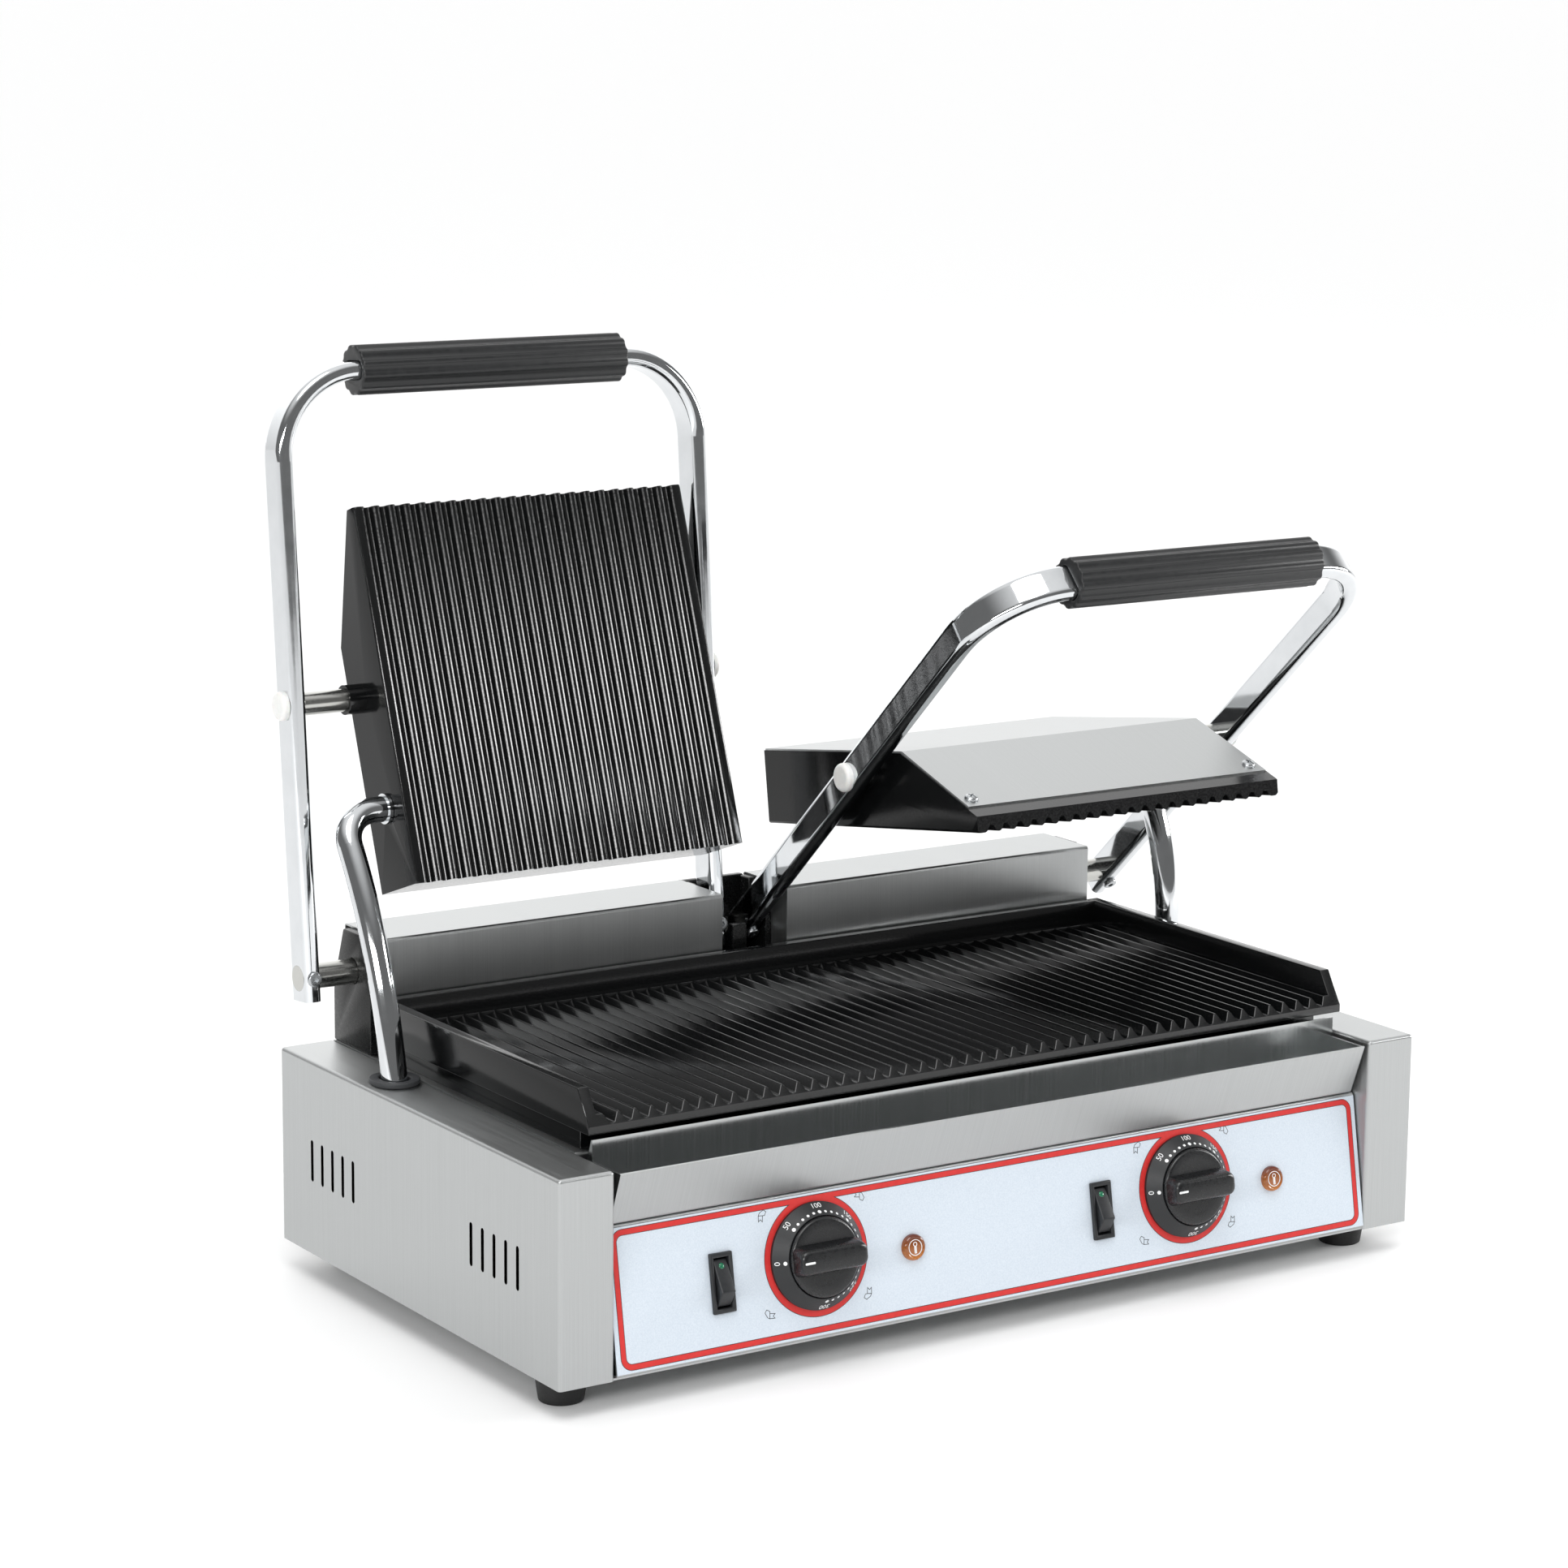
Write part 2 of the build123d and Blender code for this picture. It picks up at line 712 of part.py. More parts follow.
# Outer hinge brackets: castings on the deck, bored for the shafts
for side, name in sides:
    with BuildPart() as bracket:
        with BuildSketch(side_plane(side * bracket_outer_x)) as outline:
            Polygon(
                (bracket_front_depth, body_height),
                (bracket_front_depth, bracket_top - bracket_brow),
                (hinge_depth - bracket_shoulder / 2, bracket_top),
                (hinge_depth + bracket_shoulder / 2, bracket_top),
                (body_depth - bracket_edge, hinge_level),
                (body_depth, body_height + bracket_brow),
                (body_depth, body_height),
                align=None,
            )
            fillet(outline.vertices().group_by(Axis.Z)[1:], bracket_edge)
        extrude(amount=-side * bracket_width)
        with BuildSketch(cross_plane(hinge, side * bracket_outer_x)):
            Circle(shaft_bore)
        extrude(amount=-side * bracket_width, mode=Mode.SUBTRACT)
    save(bracket.part, f"{name}_hinge_bracket")

# Centre hinge bracket: a base and back with two bored cheeks, a web between the arms and cover lugs
centre_back_depth = body_depth - centre_back
with BuildPart() as centre:
    with BuildSketch(level_plane(body_height)):
        with Locations((0, (bracket_front_depth + body_depth) / 2)):
            Rectangle(2 * centre_half_width, body_depth - bracket_front_depth)
    extrude(amount=centre_base_height)
    with BuildSketch(level_plane(body_height)):
        with Locations((0, body_depth - centre_back / 2)):
            Rectangle(2 * centre_half_width, centre_back)
    extrude(amount=bracket_top - body_height)
    for side, name in sides:
        with BuildSketch(side_plane(side * centre_half_width)):
            with Locations((hinge_depth, hinge_level)):
                Circle(cheek_radius)
            cheek_depth = centre_back_depth - hinge_depth + cheek_radius
            with Locations((centre_back_depth - cheek_depth / 2, (body_height + hinge_level) / 2)):
                Rectangle(cheek_depth, hinge_level - body_height)
        extrude(amount=-side * cheek_thickness)
        with BuildSketch(level_plane(body_height)):
            lug_width = cheek_thickness + spring_lug
            lug_x = side * (centre_half_width + spring_lug - lug_width / 2)
            with Locations((lug_x, centre_back_depth - fold_radius)):
                Rectangle(lug_width, spring_lug_depth, align=(Align.CENTER, Align.MAX))
        extrude(amount=bracket_top - body_height)
    with BuildSketch(side_plane(0)):
        web_front = hinge_depth - cheek_radius
        web_size = (centre_back_depth - web_front, hinge_level - body_height)
        with Locations((web_front, body_height)):
            Rectangle(*web_size, align=(Align.MIN, Align.MIN))
    extrude(amount=web_half_width, both=True)
    with BuildSketch(cross_plane(hinge, 0)):
        Circle(shaft_bore)
    extrude(amount=body_width, both=True, mode=Mode.SUBTRACT)
save(centre.part, "centre_hinge_bracket")

# Spring covers: sheet folded over the shafts, with a flange across the inner end
for side, name in sides:
    cover_start = centre_half_width + spring_cover_end_gap
    with BuildPart() as spring_cover:
        with BuildSketch(side_plane(side * cover_start)):
            with BuildLine():
                FilletPolyline(
                    (spring_cover_front, spring_cover_top - spring_cover_skirt),
                    (spring_cover_front, spring_cover_top),
                    (spring_cover_rear, spring_cover_top),
                    (spring_cover_rear, spring_cover_top - spring_cover_lip),
                    radius=fold_radius,
                )
                offset(amount=spring_cover_sheet, side=Side.RIGHT)
            make_face()
        extrude(amount=side * (spring_cover_outer_x - cover_start))
        with BuildSketch(side_plane(side * cover_start)):
            with Locations((spring_cover_front + spring_cover_sheet, spring_cover_top - spring_cover_sheet)):
                flange_size = (spring_cover_flange - spring_cover_sheet, spring_cover_skirt - spring_cover_sheet)
                Rectangle(*flange_size, align=(Align.MIN, Align.MAX))
        extrude(amount=side * spring_cover_sheet)
    save(spring_cover.part, f"{name}_spring_cover")

# Lids: shaft, bent bar, grip, set screws, pivot pins and their caps
for side, name in sides:
    outer_face = side * (outer_arm_x + bar_thickness / 2)
    inner_face = side * (inner_arm_x - bar_thickness / 2)
    along = arm_plane(name).x_dir
    forward = arm_plane(name).y_dir * -1
    bar_plane = Plane(origin=hinge, x_dir=(1, 0, 0), z_dir=forward)
    arm_centres = (side * outer_arm_x, side * inner_arm_x)

    with BuildPart() as shaft:
        with BuildSketch(cross_plane(hinge, inner_face)):
            Circle(shaft_radius)
        extrude(amount=outer_face - inner_face)
    save(shaft.part, f"{name}_hinge_shaft")

    with BuildPart() as bar:
        with BuildLine(bar_plane) as route:
            FilletPolyline(
                (arm_centres[0], -bar_tail),
                (arm_centres[0], grip_reach),
                (arm_centres[1], grip_reach),
                (arm_centres[1], -bar_tail),
                radius=bar_bend,
            )
        with BuildSketch(Plane(origin=route.line @ 0, x_dir=(1, 0, 0), z_dir=along)):
            RectangleRounded(bar_thickness, bar_width, bar_edge)
        sweep()
        with BuildSketch(arm_plane(name)):
            Circle(shaft_bore)
            with Locations((pin_reach, 0)):
                Circle(pin_bore)
        extrude(amount=body_width, both=True, mode=Mode.SUBTRACT)
        for x in arm_centres:
            with BuildSketch(Plane(origin=(x, hinge.Y, hinge.Z), x_dir=(1, 0, 0), z_dir=forward)):
                Circle(set_screw_radius + running_gap)
            extrude(amount=bar_width, mode=Mode.SUBTRACT)
    save(bar.part, f"{name}_handle_bar")

    with BuildPart() as screws:
        for x in arm_centres:
            screw_foot = Vector(x, hinge.Y, hinge.Z) + forward * (shaft_radius + seat_gap)
            with BuildSketch(Plane(origin=screw_foot, x_dir=(1, 0, 0), z_dir=forward)):
                Circle(set_screw_radius)
            extrude(amount=bar_width / 2 + set_collar_height - shaft_radius - seat_gap)
            collar_foot = Vector(x, hinge.Y, hinge.Z) + forward * (bar_width / 2 + seat_gap / 2)
            with BuildSketch(Plane(origin=collar_foot, x_dir=(1, 0, 0), z_dir=forward)):
                Circle(set_collar_radius)
            extrude(amount=set_collar_height)
    save(screws.part, f"{name}_set_screws")

    with BuildPart() as grip:
        with BuildSketch(arm_plane(name, sum(arm_centres) / 2)):
            with Locations((grip_reach, 0)):
                Circle(grip_radius)
                with PolarLocations(grip_radius + flute_radius - flute_depth, grip_flutes):
                    Circle(flute_radius, mode=Mode.SUBTRACT)
                bore_edge = bar_edge + seat_gap
                bore = (bar_thickness + 2 * seat_gap, bar_width + 2 * seat_gap)
                RectangleRounded(*bore, bore_edge, mode=Mode.SUBTRACT)
        extrude(amount=grip_half_length, both=True)
    save(grip.part, f"{name}_grip")

    plate_outer = side * upper_outer_x
    plate_inner = side * upper_inner_x
    pins = {
        "outer": (outer_face, plate_outer - side * pin_engagement, side),
        "inner": (inner_face, plate_inner + side * pin_engagement, -side),
    }
    for place, (start, end, out) in pins.items():
        with BuildPart() as pin:
            with BuildSketch(cross_plane(pivot(name), start)):
                Circle(pin_radius)
            extrude(amount=end - start)
        save(pin.part, f"{name}_{place}_pivot_pin")

        with BuildPart() as cap:
            with BuildSketch(cross_plane(pivot(name), start)):
                Circle(cap_radius)
            extrude(amount=out * cap_height)
            outward = Axis((0, 0, 0), (out, 0, 0))
            fillet(cap.edges().filter_by(GeomType.CIRCLE).sort_by(outward)[-1], cap_edge)
        save(cap.part, f"{name}_{place}_cap")

# Upper plates: ribbed castings with a pocket for the heater, a sheet cover and its screws
for side, name in sides:
    centre_x = side * upper_centre_x
    plate_outer = side * upper_outer_x
    plate_inner = side * upper_inner_x
    across = plate_plane(name, centre_x)
    screw_reach = upper_half_width - cover_screw_inset
    screw_points = [(centre_x + end * screw_reach, cover_screw_inset) for end in (-1, 1)]

    with BuildPart() as upper:
        with BuildSketch(across):
            Polygon(
                (upper_front, -upper_face_drop),
                (upper_front, nose_top),
                (upper_knee, upper_top_rise),
                (-upper_rear, upper_top_rise),
                (-upper_rear, -upper_face_drop),
                align=None,
            )
        extrude(amount=upper_half_width, both=True)
        with BuildSketch(plate_level(name, upper_floor - upper_face_drop)):
            pocket_front = upper_nose_solid - upper_front
            pocket_rear = upper_rear - upper_wall
            with Locations((centre_x, (pocket_front + pocket_rear) / 2)):
                Rectangle(2 * (upper_half_width - upper_wall), pocket_rear - pocket_front)
        extrude(amount=upper_face_drop + upper_top_rise, mode=Mode.SUBTRACT)
        for start, length in ((plate_outer, side * outer_boss), (plate_inner, -side * inner_boss)):
            with BuildSketch(cross_plane(pivot(name), start)):
                Circle(boss_radius)
            extrude(amount=length)
        with BuildSketch(cross_plane(pivot(name), 0)):
            Circle(pin_bore)
        extrude(amount=body_width, both=True, mode=Mode.SUBTRACT)
        with BuildSketch(cross_plane(conduit_entry(name), plate_outer)):
            Circle(conduit_radius + running_gap)
        extrude(amount=-side * 2 * upper_wall, mode=Mode.SUBTRACT)
        rib_end = plate_plane(name).from_local_coords(Vector(upper_front, -upper_face_drop, 0))
        with BuildSketch(Plane(origin=rib_end, x_dir=(1, 0, 0), z_dir=across.x_dir * -1)):
            with Locations((centre_x, 0)):
                with GridLocations(upper_rib_pitch, upper_groove_depth, upper_grooves, 1):
                    groove(upper_groove_width, upper_groove_depth)
        extrude(amount=upper_front + upper_rear, mode=Mode.SUBTRACT)
        with BuildSketch(slope_plane(name)):
            with Locations(*screw_points):
                Circle(cover_screw_radius + running_gap)
        extrude(amount=-cover_screw_length - seat_gap, mode=Mode.SUBTRACT)
    save(upper.part, f"{name}_upper_plate")

    with BuildPart() as upper_cover:
        with BuildSketch(across):
            with BuildLine():
                Polyline(
                    (-upper_rear, upper_top_rise),
                    (upper_knee, upper_top_rise),
                    (upper_knee + cover_reach * slope_run, upper_top_rise - cover_reach * slope_fall),
                )
                offset(amount=upper_cover_sheet, side=Side.LEFT)
            make_face()
        extrude(amount=upper_half_width - upper_cover_inset, both=True)
        with BuildSketch(slope_plane(name)):
            with Locations(*screw_points):
                Circle(cover_screw_radius + running_gap)
        extrude(amount=2 * upper_cover_sheet, both=True, mode=Mode.SUBTRACT)
    save(upper_cover.part, f"{name}_upper_cover")

    with BuildPart() as cover_screws:
        with BuildSketch(slope_plane(name).offset(upper_cover_sheet)):
            with Locations(*screw_points):
                Circle(cover_head_radius)
        extrude(amount=cover_head_height)
        with BuildSketch(slope_plane(name).offset(upper_cover_sheet)):
            with Locations(*screw_points):
                Circle(cover_screw_radius)
        extrude(amount=-cover_screw_length - upper_cover_sheet)
    save(cover_screws.part, f"{name}_cover_screws")

    with BuildPart() as heater:
        heater_rise = upper_floor - upper_face_drop + heater_radius + heater_gap
        with BuildLine(plate_level(name, heater_rise)) as route:
            heater_half = upper_half_width - heater_inset
            serpentine(
                centre_x - heater_half,
                centre_x + heater_half,
                pocket_front + heater_inset / 2,
                pocket_rear - heater_inset / 2,
            )
        with BuildSketch(Plane(origin=route.line @ 0, z_dir=route.line % 0)):
            Circle(heater_radius)
        sweep()
    save(heater.part, f"{name}_upper_heater")

# Conduits and their grommets
for side, name in sides:
    entry = conduit_entry(name)
    plate_outer = side * upper_outer_x
    down = conduit_down(name)
    bend = conduit_bends[name]
    turn = asin(cover_drop(name) / bend) + conduit_tails[name] / bend
    inside = Vector(plate_outer - side * upper_wall, entry.Y, entry.Z)
    elbow_start = Vector(side * (conduit_x - conduit_elbow), entry.Y, entry.Z)
    corner = Vector(side * conduit_x, entry.Y, entry.Z)
    elbow_end = corner + down * conduit_elbow
    bend_start = corner + down * conduit_straights[name]
    bend_end = Vector(corner.X, 0, 0) + bend_centre(name) + Vector(0, -cos(turn), -sin(turn)) * bend

    with BuildPart() as conduit:
        with BuildLine():
            Line(inside, elbow_start)
            TangentArc(elbow_start, elbow_end, tangent=(side, 0, 0))
            Line(elbow_end, bend_start)
            TangentArc(bend_start, bend_end, tangent=down)
        with BuildSketch(Plane(origin=inside, z_dir=(side, 0, 0))):
            Circle(conduit_radius)
        sweep()
        with BuildSketch(cross_plane(entry, plate_outer + side * conduit_collar_gap)):
            Circle(conduit_collar_radius)
        extrude(amount=side * conduit_collar)
    save(conduit.part, f"{name}_conduit")

    with BuildPart() as grommet:
        place = (side * conduit_x, grommet_depth(name))
        with BuildSketch(level_plane(body_height)):
            with Locations(place):
                SlotOverall(
                    grommet_hole_length + 2 * grommet_rim, grommet_hole_width + 2 * grommet_rim, rotation=90
                )
        extrude(amount=grommet_height)
        with BuildSketch(level_plane(body_height)):
            with Locations(place):
                neck_length = grommet_hole_length - 2 * seat_gap
                SlotOverall(neck_length, grommet_hole_width - 2 * seat_gap, rotation=90)
        extrude(amount=-2 * sheet)
        with BuildSketch(level_plane(body_height)):
            with Locations(place):
                bore_width = 2 * (conduit_radius + grommet_side_gap)
                SlotOverall(bore_width + 2 * grommet_end_gap, bore_width, rotation=90)
        extrude(amount=grommet_height + 2 * sheet, both=True, mode=Mode.SUBTRACT)
    save(grommet.part, f"{name}_grommet")
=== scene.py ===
import math

import bmesh
import bpy
from mathutils import Euler, Matrix, Vector


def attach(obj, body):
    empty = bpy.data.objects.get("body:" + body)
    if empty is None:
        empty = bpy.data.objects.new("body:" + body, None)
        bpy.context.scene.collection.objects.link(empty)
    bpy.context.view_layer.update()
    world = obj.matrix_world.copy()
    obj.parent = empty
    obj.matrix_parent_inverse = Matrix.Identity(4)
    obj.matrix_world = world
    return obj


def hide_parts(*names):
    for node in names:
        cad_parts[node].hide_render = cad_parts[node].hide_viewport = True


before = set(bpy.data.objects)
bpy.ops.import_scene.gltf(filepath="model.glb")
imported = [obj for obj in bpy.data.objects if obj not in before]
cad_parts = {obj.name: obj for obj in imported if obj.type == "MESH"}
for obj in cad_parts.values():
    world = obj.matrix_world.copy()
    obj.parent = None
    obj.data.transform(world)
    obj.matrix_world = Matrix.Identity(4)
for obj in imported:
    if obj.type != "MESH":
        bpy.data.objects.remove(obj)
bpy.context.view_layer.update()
scene = bpy.context.scene
mm = 0.001
sides = ((-1, "left"), (1, "right"))
print("frame loaded,", len(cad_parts), "nodes")


def linearColour(hexText):
    channels = [int(hexText[i:i + 2], 16) / 255 for i in (1, 3, 5)]
    return tuple(c / 12.92 if c <= 0.04045 else ((c + 0.055) / 1.055) ** 2.4 for c in channels) + (1.0,)


def addNode(tree, kind, settings=None, inputs=None):
    node = tree.nodes.new(kind)
    for name, value in (settings or {}).items():
        setattr(node, name, value)
    for name, value in (inputs or {}).items():  # a socket is linked, anything else is set
        if isinstance(value, bpy.types.NodeSocket):
            tree.links.new(value, node.inputs[name])
        else:
            node.inputs[name].default_value = value
    return node


def startMaterial(name):
    material = bpy.data.materials.new(name)
    material.use_nodes = True
    material.node_tree.nodes.clear()
    place = addNode(material.node_tree, "ShaderNodeTexCoord")
    return material, material.node_tree, place


def closeMaterial(tree, inputs):
    shader = addNode(tree, "ShaderNodeBsdfPrincipled", inputs=inputs)
    addNode(tree, "ShaderNodeOutputMaterial", inputs={"Surface": shader.outputs["BSDF"]})


# Camera where the photograph was taken from
cameraLook = {"place": (-1.3154, -1.9286, 0.7350), "lens": 96.67, "sensor": 36.0,
              "tilt": 78.914, "swing": -33.336, "roll": 0.543, "sees": 1000.0}


def addCamera(look):
    lens = bpy.data.cameras.new("photo_camera")
    lens.lens = look["lens"]
    lens.sensor_width = look["sensor"]
    lens.clip_end = look["sees"]
    camera = bpy.data.objects.new("photo_camera", lens)
    scene.collection.objects.link(camera)
    turn = Euler((math.radians(look["tilt"]), 0, math.radians(look["swing"]))).to_matrix().to_4x4()
    roll = Matrix.Rotation(math.radians(look["roll"]), 4, "Z")
    camera.matrix_world = Matrix.Translation(look["place"]) @ turn @ roll
    scene.camera = camera


addCamera(cameraLook)
scene.view_settings.view_transform = "Standard"
print("camera set")


noiseSpread = (0.3, 0.7)  # nearly all of a noise's values lie between these

# Brushed stainless sheet: belt ground at the mill, so straight scratches draw each reflection
# out across them. Real scratches are about 0.1 mm wide, drawn coarser here so that they show.
stainlessLook = {"light": "#C8CACA", "dark": "#AEB0B0", "roughness": (0.32, 0.44), "drawnOut": 0.8,
                 "scratchWidth": 0.5, "scratchLength": 80.0, "relief": 0.06, "height": 0.02,
                 "endFacing": 0.6, "insideFacing": (-0.3, -0.1), "insideGloss": 1.0}
# The drip tray keeps the bright mill face inside, so its trough mirrors the dark plate
trayLook = dict(stainlessLook, insideGloss=0.42)
# The side covers' insides and slot walls are painted near-black, a painted shade for the dark inside of the
# cover behind its vent slots
coverLook = dict(stainlessLook, paintedInnerShade={"within": (284.95, 130.0, 100.0), "tone": "#0E0D0C"})


def brushedStainless(name, look):
    material, tree, place = startMaterial(name)
    across = 1 / (look["scratchWidth"] * mm)
    along = 1 / (look["scratchLength"] * mm)
    grains = []
    for stretch in ((across, along, along), (along, across, along)):  # up every face, whichever way it looks
        laid = addNode(tree, "ShaderNodeMapping", inputs={
            "Vector": place.outputs["Object"], "Scale": stretch})
        grains.append(addNode(tree, "ShaderNodeTexNoise", inputs={
            "Vector": laid.outputs[0], "Scale": 1.0, "Detail": 3.0, "Roughness": 0.65}))
    facing = addNode(tree, "ShaderNodeSeparateXYZ", inputs={"Vector": place.outputs["Normal"]})
    sideways = addNode(tree, "ShaderNodeMath", {"operation": "ABSOLUTE"}, {0: facing.outputs["X"]})
    endFace = addNode(tree, "ShaderNodeMath", {"operation": "GREATER_THAN"}, {
        0: sideways.outputs[0], 1: look["endFacing"]})
    grain = addNode(tree, "ShaderNodeMix", inputs={
        0: endFace.outputs[0], 2: grains[0].outputs[0], 3: grains[1].outputs[0]})
    tone = addNode(tree, "ShaderNodeMix", {"data_type": "RGBA"}, {
        0: grain.outputs[0], 6: linearColour(look["dark"]), 7: linearColour(look["light"])})
    # Painted shade: faces within these limits, inside the cover's outer skin, take the near-black colour
    if "paintedInnerShade" in look:
        far = addNode(tree, "ShaderNodeVectorMath", {"operation": "ABSOLUTE"}, {0: place.outputs["Object"]})
        apart = addNode(tree, "ShaderNodeSeparateXYZ", inputs={"Vector": far.outputs[0]})
        share = 1.0
        for axis, limit in enumerate(look["paintedInnerShade"]["within"]):
            within = addNode(tree, "ShaderNodeMath", {"operation": "LESS_THAN"}, {
                0: apart.outputs[axis], 1: limit * mm})
            both = addNode(tree, "ShaderNodeMath", {"operation": "MULTIPLY"}, {0: within.outputs[0], 1: share})
            share = both.outputs[0]
        tone = addNode(tree, "ShaderNodeMix", {"data_type": "RGBA"}, {
            0: share, 6: tone.outputs[2], 7: linearColour(look["paintedInnerShade"]["tone"])})
    rough = addNode(tree, "ShaderNodeMapRange", inputs={
        "Value": grain.outputs[0], "From Min": noiseSpread[0], "From Max": noiseSpread[1],
        "To Min": look["roughness"][0], "To Max": look["roughness"][1]})
    inside = addNode(tree, "ShaderNodeMapRange", inputs={
        "Value": facing.outputs["Z"], "From Min": look["insideFacing"][0], "From Max": look["insideFacing"][1],
        "To Min": 1.0, "To Max": look["insideGloss"]})
    blur = addNode(tree, "ShaderNodeMath", {"operation": "MULTIPLY"}, {
        0: rough.outputs[0], 1: inside.outputs[0]})
    bump = addNode(tree, "ShaderNodeBump", inputs={
        "Strength": look["relief"], "Distance": look["height"] * mm, "Height": grain.outputs[0]})
    acrossGrain = addNode(tree, "ShaderNodeCombineXYZ", inputs={"Y": endFace.outputs[0]})
    leftOver = addNode(tree, "ShaderNodeMath", {"operation": "SUBTRACT"}, {0: 1.0, 1: endFace.outputs[0]})
    tree.links.new(leftOver.outputs[0], acrossGrain.inputs["X"])
    closeMaterial(tree, {"Base Color": tone.outputs[2], "Metallic": 1.0, "Roughness": blur.outputs[0],
                         "Anisotropic": look["drawnOut"], "Tangent": acrossGrain.outputs[0],
                         "Normal": bump.outputs[0]})
    return material


endFacing = (0.94, 0.99)  # how squarely a face looks sideways before it counts as an end
plainShine = 0.5


# One grain gives tone, gloss and relief, the way a moulded, cast or printed skin has them
def grainedSkin(name, look):
    material, tree, place = startMaterial(name)
    grain = addNode(tree, "ShaderNodeTexNoise", inputs={
        "Vector": place.outputs["Object"], "Scale": 1 / (look["grain"] * mm),
        "Detail": look.get("detail", 3.0), "Roughness": 0.6})
    tone = addNode(tree, "ShaderNodeMix", {"data_type": "RGBA"}, {
        0: grain.outputs[0], 6: linearColour(look["dark"]), 7: linearColour(look["light"])})
    rough = addNode(tree, "ShaderNodeMapRange", inputs={
        "Value": grain.outputs[0], "From Min": noiseSpread[0], "From Max": noiseSpread[1],
        "To Min": look["roughness"][0], "To Max": look["roughness"][1]})
    bump = addNode(tree, "ShaderNodeBump", inputs={
        "Strength": look["relief"], "Distance": look["height"] * mm, "Height": grain.outputs[0]})
    inputs = {"Base Color": tone.outputs[2], "Roughness": rough.outputs[0], "Normal": bump.outputs[0]}
    inputs.update(look.get("shader", {}))
    if "dullEnds" in look:  # end faces, left as cast, shine less than the dressed ones
        facing = addNode(tree, "ShaderNodeSeparateXYZ", inputs={"Vector": place.outputs["Normal"]})
        sideways = addNode(tree, "ShaderNodeMath", {"operation": "ABSOLUTE"}, {0: facing.outputs["X"]})
        shine = addNode(tree, "ShaderNodeMapRange", inputs={
            "Value": sideways.outputs[0], "From Min": endFacing[0], "From Max": endFacing[1],
            "To Min": plainShine, "To Max": look["dullEnds"]})
        inputs["Specular IOR Level"] = shine.outputs[0]
    closeMaterial(tree, inputs)
    return material


# Cast iron under black vitreous enamel: sand-cast grit of about 1 mm sparkles through the gloss
enamelLook = {"dark": "#070808", "light": "#121314", "grain": 1.1, "roughness": (0.08, 0.20),
              "relief": 0.16, "height": 0.09, "dullEnds": 0.15, "shader": {"IOR": 1.58}}
# Die-cast brackets under black powder coat: fine orange peel, semi-gloss
powderLook = {"dark": "#0A0B0B", "light": "#141515", "grain": 1.8, "roughness": (0.22, 0.34),
              "relief": 0.25, "height": 0.12, "dullEnds": 0.25, "shader": {"IOR": 1.50}}
# Chrome plate on drawn steel tube: mirror bright, with the faint waves that buffing leaves
chromeLook = {"dark": "#CFD2D4", "light": "#E0E2E4", "grain": 14.0, "roughness": (0.05, 0.09),
              "relief": 0.04, "height": 0.10, "shader": {"Metallic": 1.0}}
# Turned steel pins, bright nickel plate: lathe marks blur the shine a little
nickelLook = {"dark": "#B4B4B0", "light": "#CBCBC7", "grain": 0.9, "roughness": (0.14, 0.26),
              "relief": 0.12, "height": 0.03, "shader": {"Metallic": 1.0}}
# Zinc-plated screws: tumbled and passivated, slightly cloudy
zincLook = {"dark": "#A9ACAE", "light": "#C9CCCE", "grain": 0.7, "roughness": (0.22, 0.36),
            "relief": 0.20, "height": 0.03, "shader": {"Metallic": 1.0}}
# Polyester panel film, back-printed in pale metallic blue-grey: fine flecks under a satin face
filmLook = {"dark": "#C4D0DC", "light": "#E2EAF2", "grain": 0.9, "detail": 2.0, "roughness": (0.30, 0.42),
            "relief": 0.05, "height": 0.02, "shader": {"IOR": 1.57}}
# Screen-printed red ink: an even matt layer with slight mottle
redInkLook = {"dark": "#CC2423", "light": "#DC3632", "grain": 2.4, "roughness": (0.38, 0.50),
              "relief": 0.05, "height": 0.02, "shader": {"IOR": 1.50}}
# Screen-printed charcoal ink
darkInkLook = {"dark": "#26282B", "light": "#3A3C40", "grain": 1.5, "roughness": (0.42, 0.55),
               "relief": 0.05, "height": 0.02, "shader": {"IOR": 1.50}}
# Pad-printed white ink on the dials, knobs and lamps
whiteInkLook = {"dark": "#E4E6E6", "light": "#F8F8F8", "grain": 1.0, "roughness": (0.42, 0.55),
                "relief": 0.05, "height": 0.02, "shader": {"IOR": 1.50}}
# Dials, black ABS moulded in a spark-eroded tool: fine matt texture
dialLook = {"dark": "#17181A", "light": "#26282A", "grain": 0.6, "roughness": (0.40, 0.54),
            "relief": 0.35, "height": 0.04, "shader": {"IOR": 1.53}}
# Knobs, black phenolic from a polished mould: smoother and darker, with soft highlights
knobLook = {"dark": "#0F1011", "light": "#1A1B1D", "grain": 2.2, "roughness": (0.24, 0.34),
            "relief": 0.03, "height": 0.02, "shader": {"IOR": 1.56}}
# Switches, black nylon: satin with faint flow marks
switchLook = {"dark": "#191B1D", "light": "#282A2D", "grain": 1.6, "roughness": (0.34, 0.46),
              "relief": 0.12, "height": 0.04, "shader": {"IOR": 1.53}}
# Grips, extruded black polypropylene: waxy, greyish where light grazes
gripLook = {"dark": "#191A1B", "light": "#252627", "grain": 3.5, "roughness": (0.34, 0.46),
            "relief": 0.10, "height": 0.05, "shader": {"IOR": 1.49}}
# Pin caps, white moulded nylon: slightly warm and a little translucent
capLook = {"dark": "#E4E4E0", "light": "#F4F4F2", "grain": 2.0, "roughness": (0.34, 0.44),
           "relief": 0.06, "height": 0.03,
           "shader": {"IOR": 1.53, "Subsurface Weight": 0.08, "Subsurface Scale": 0.002}}
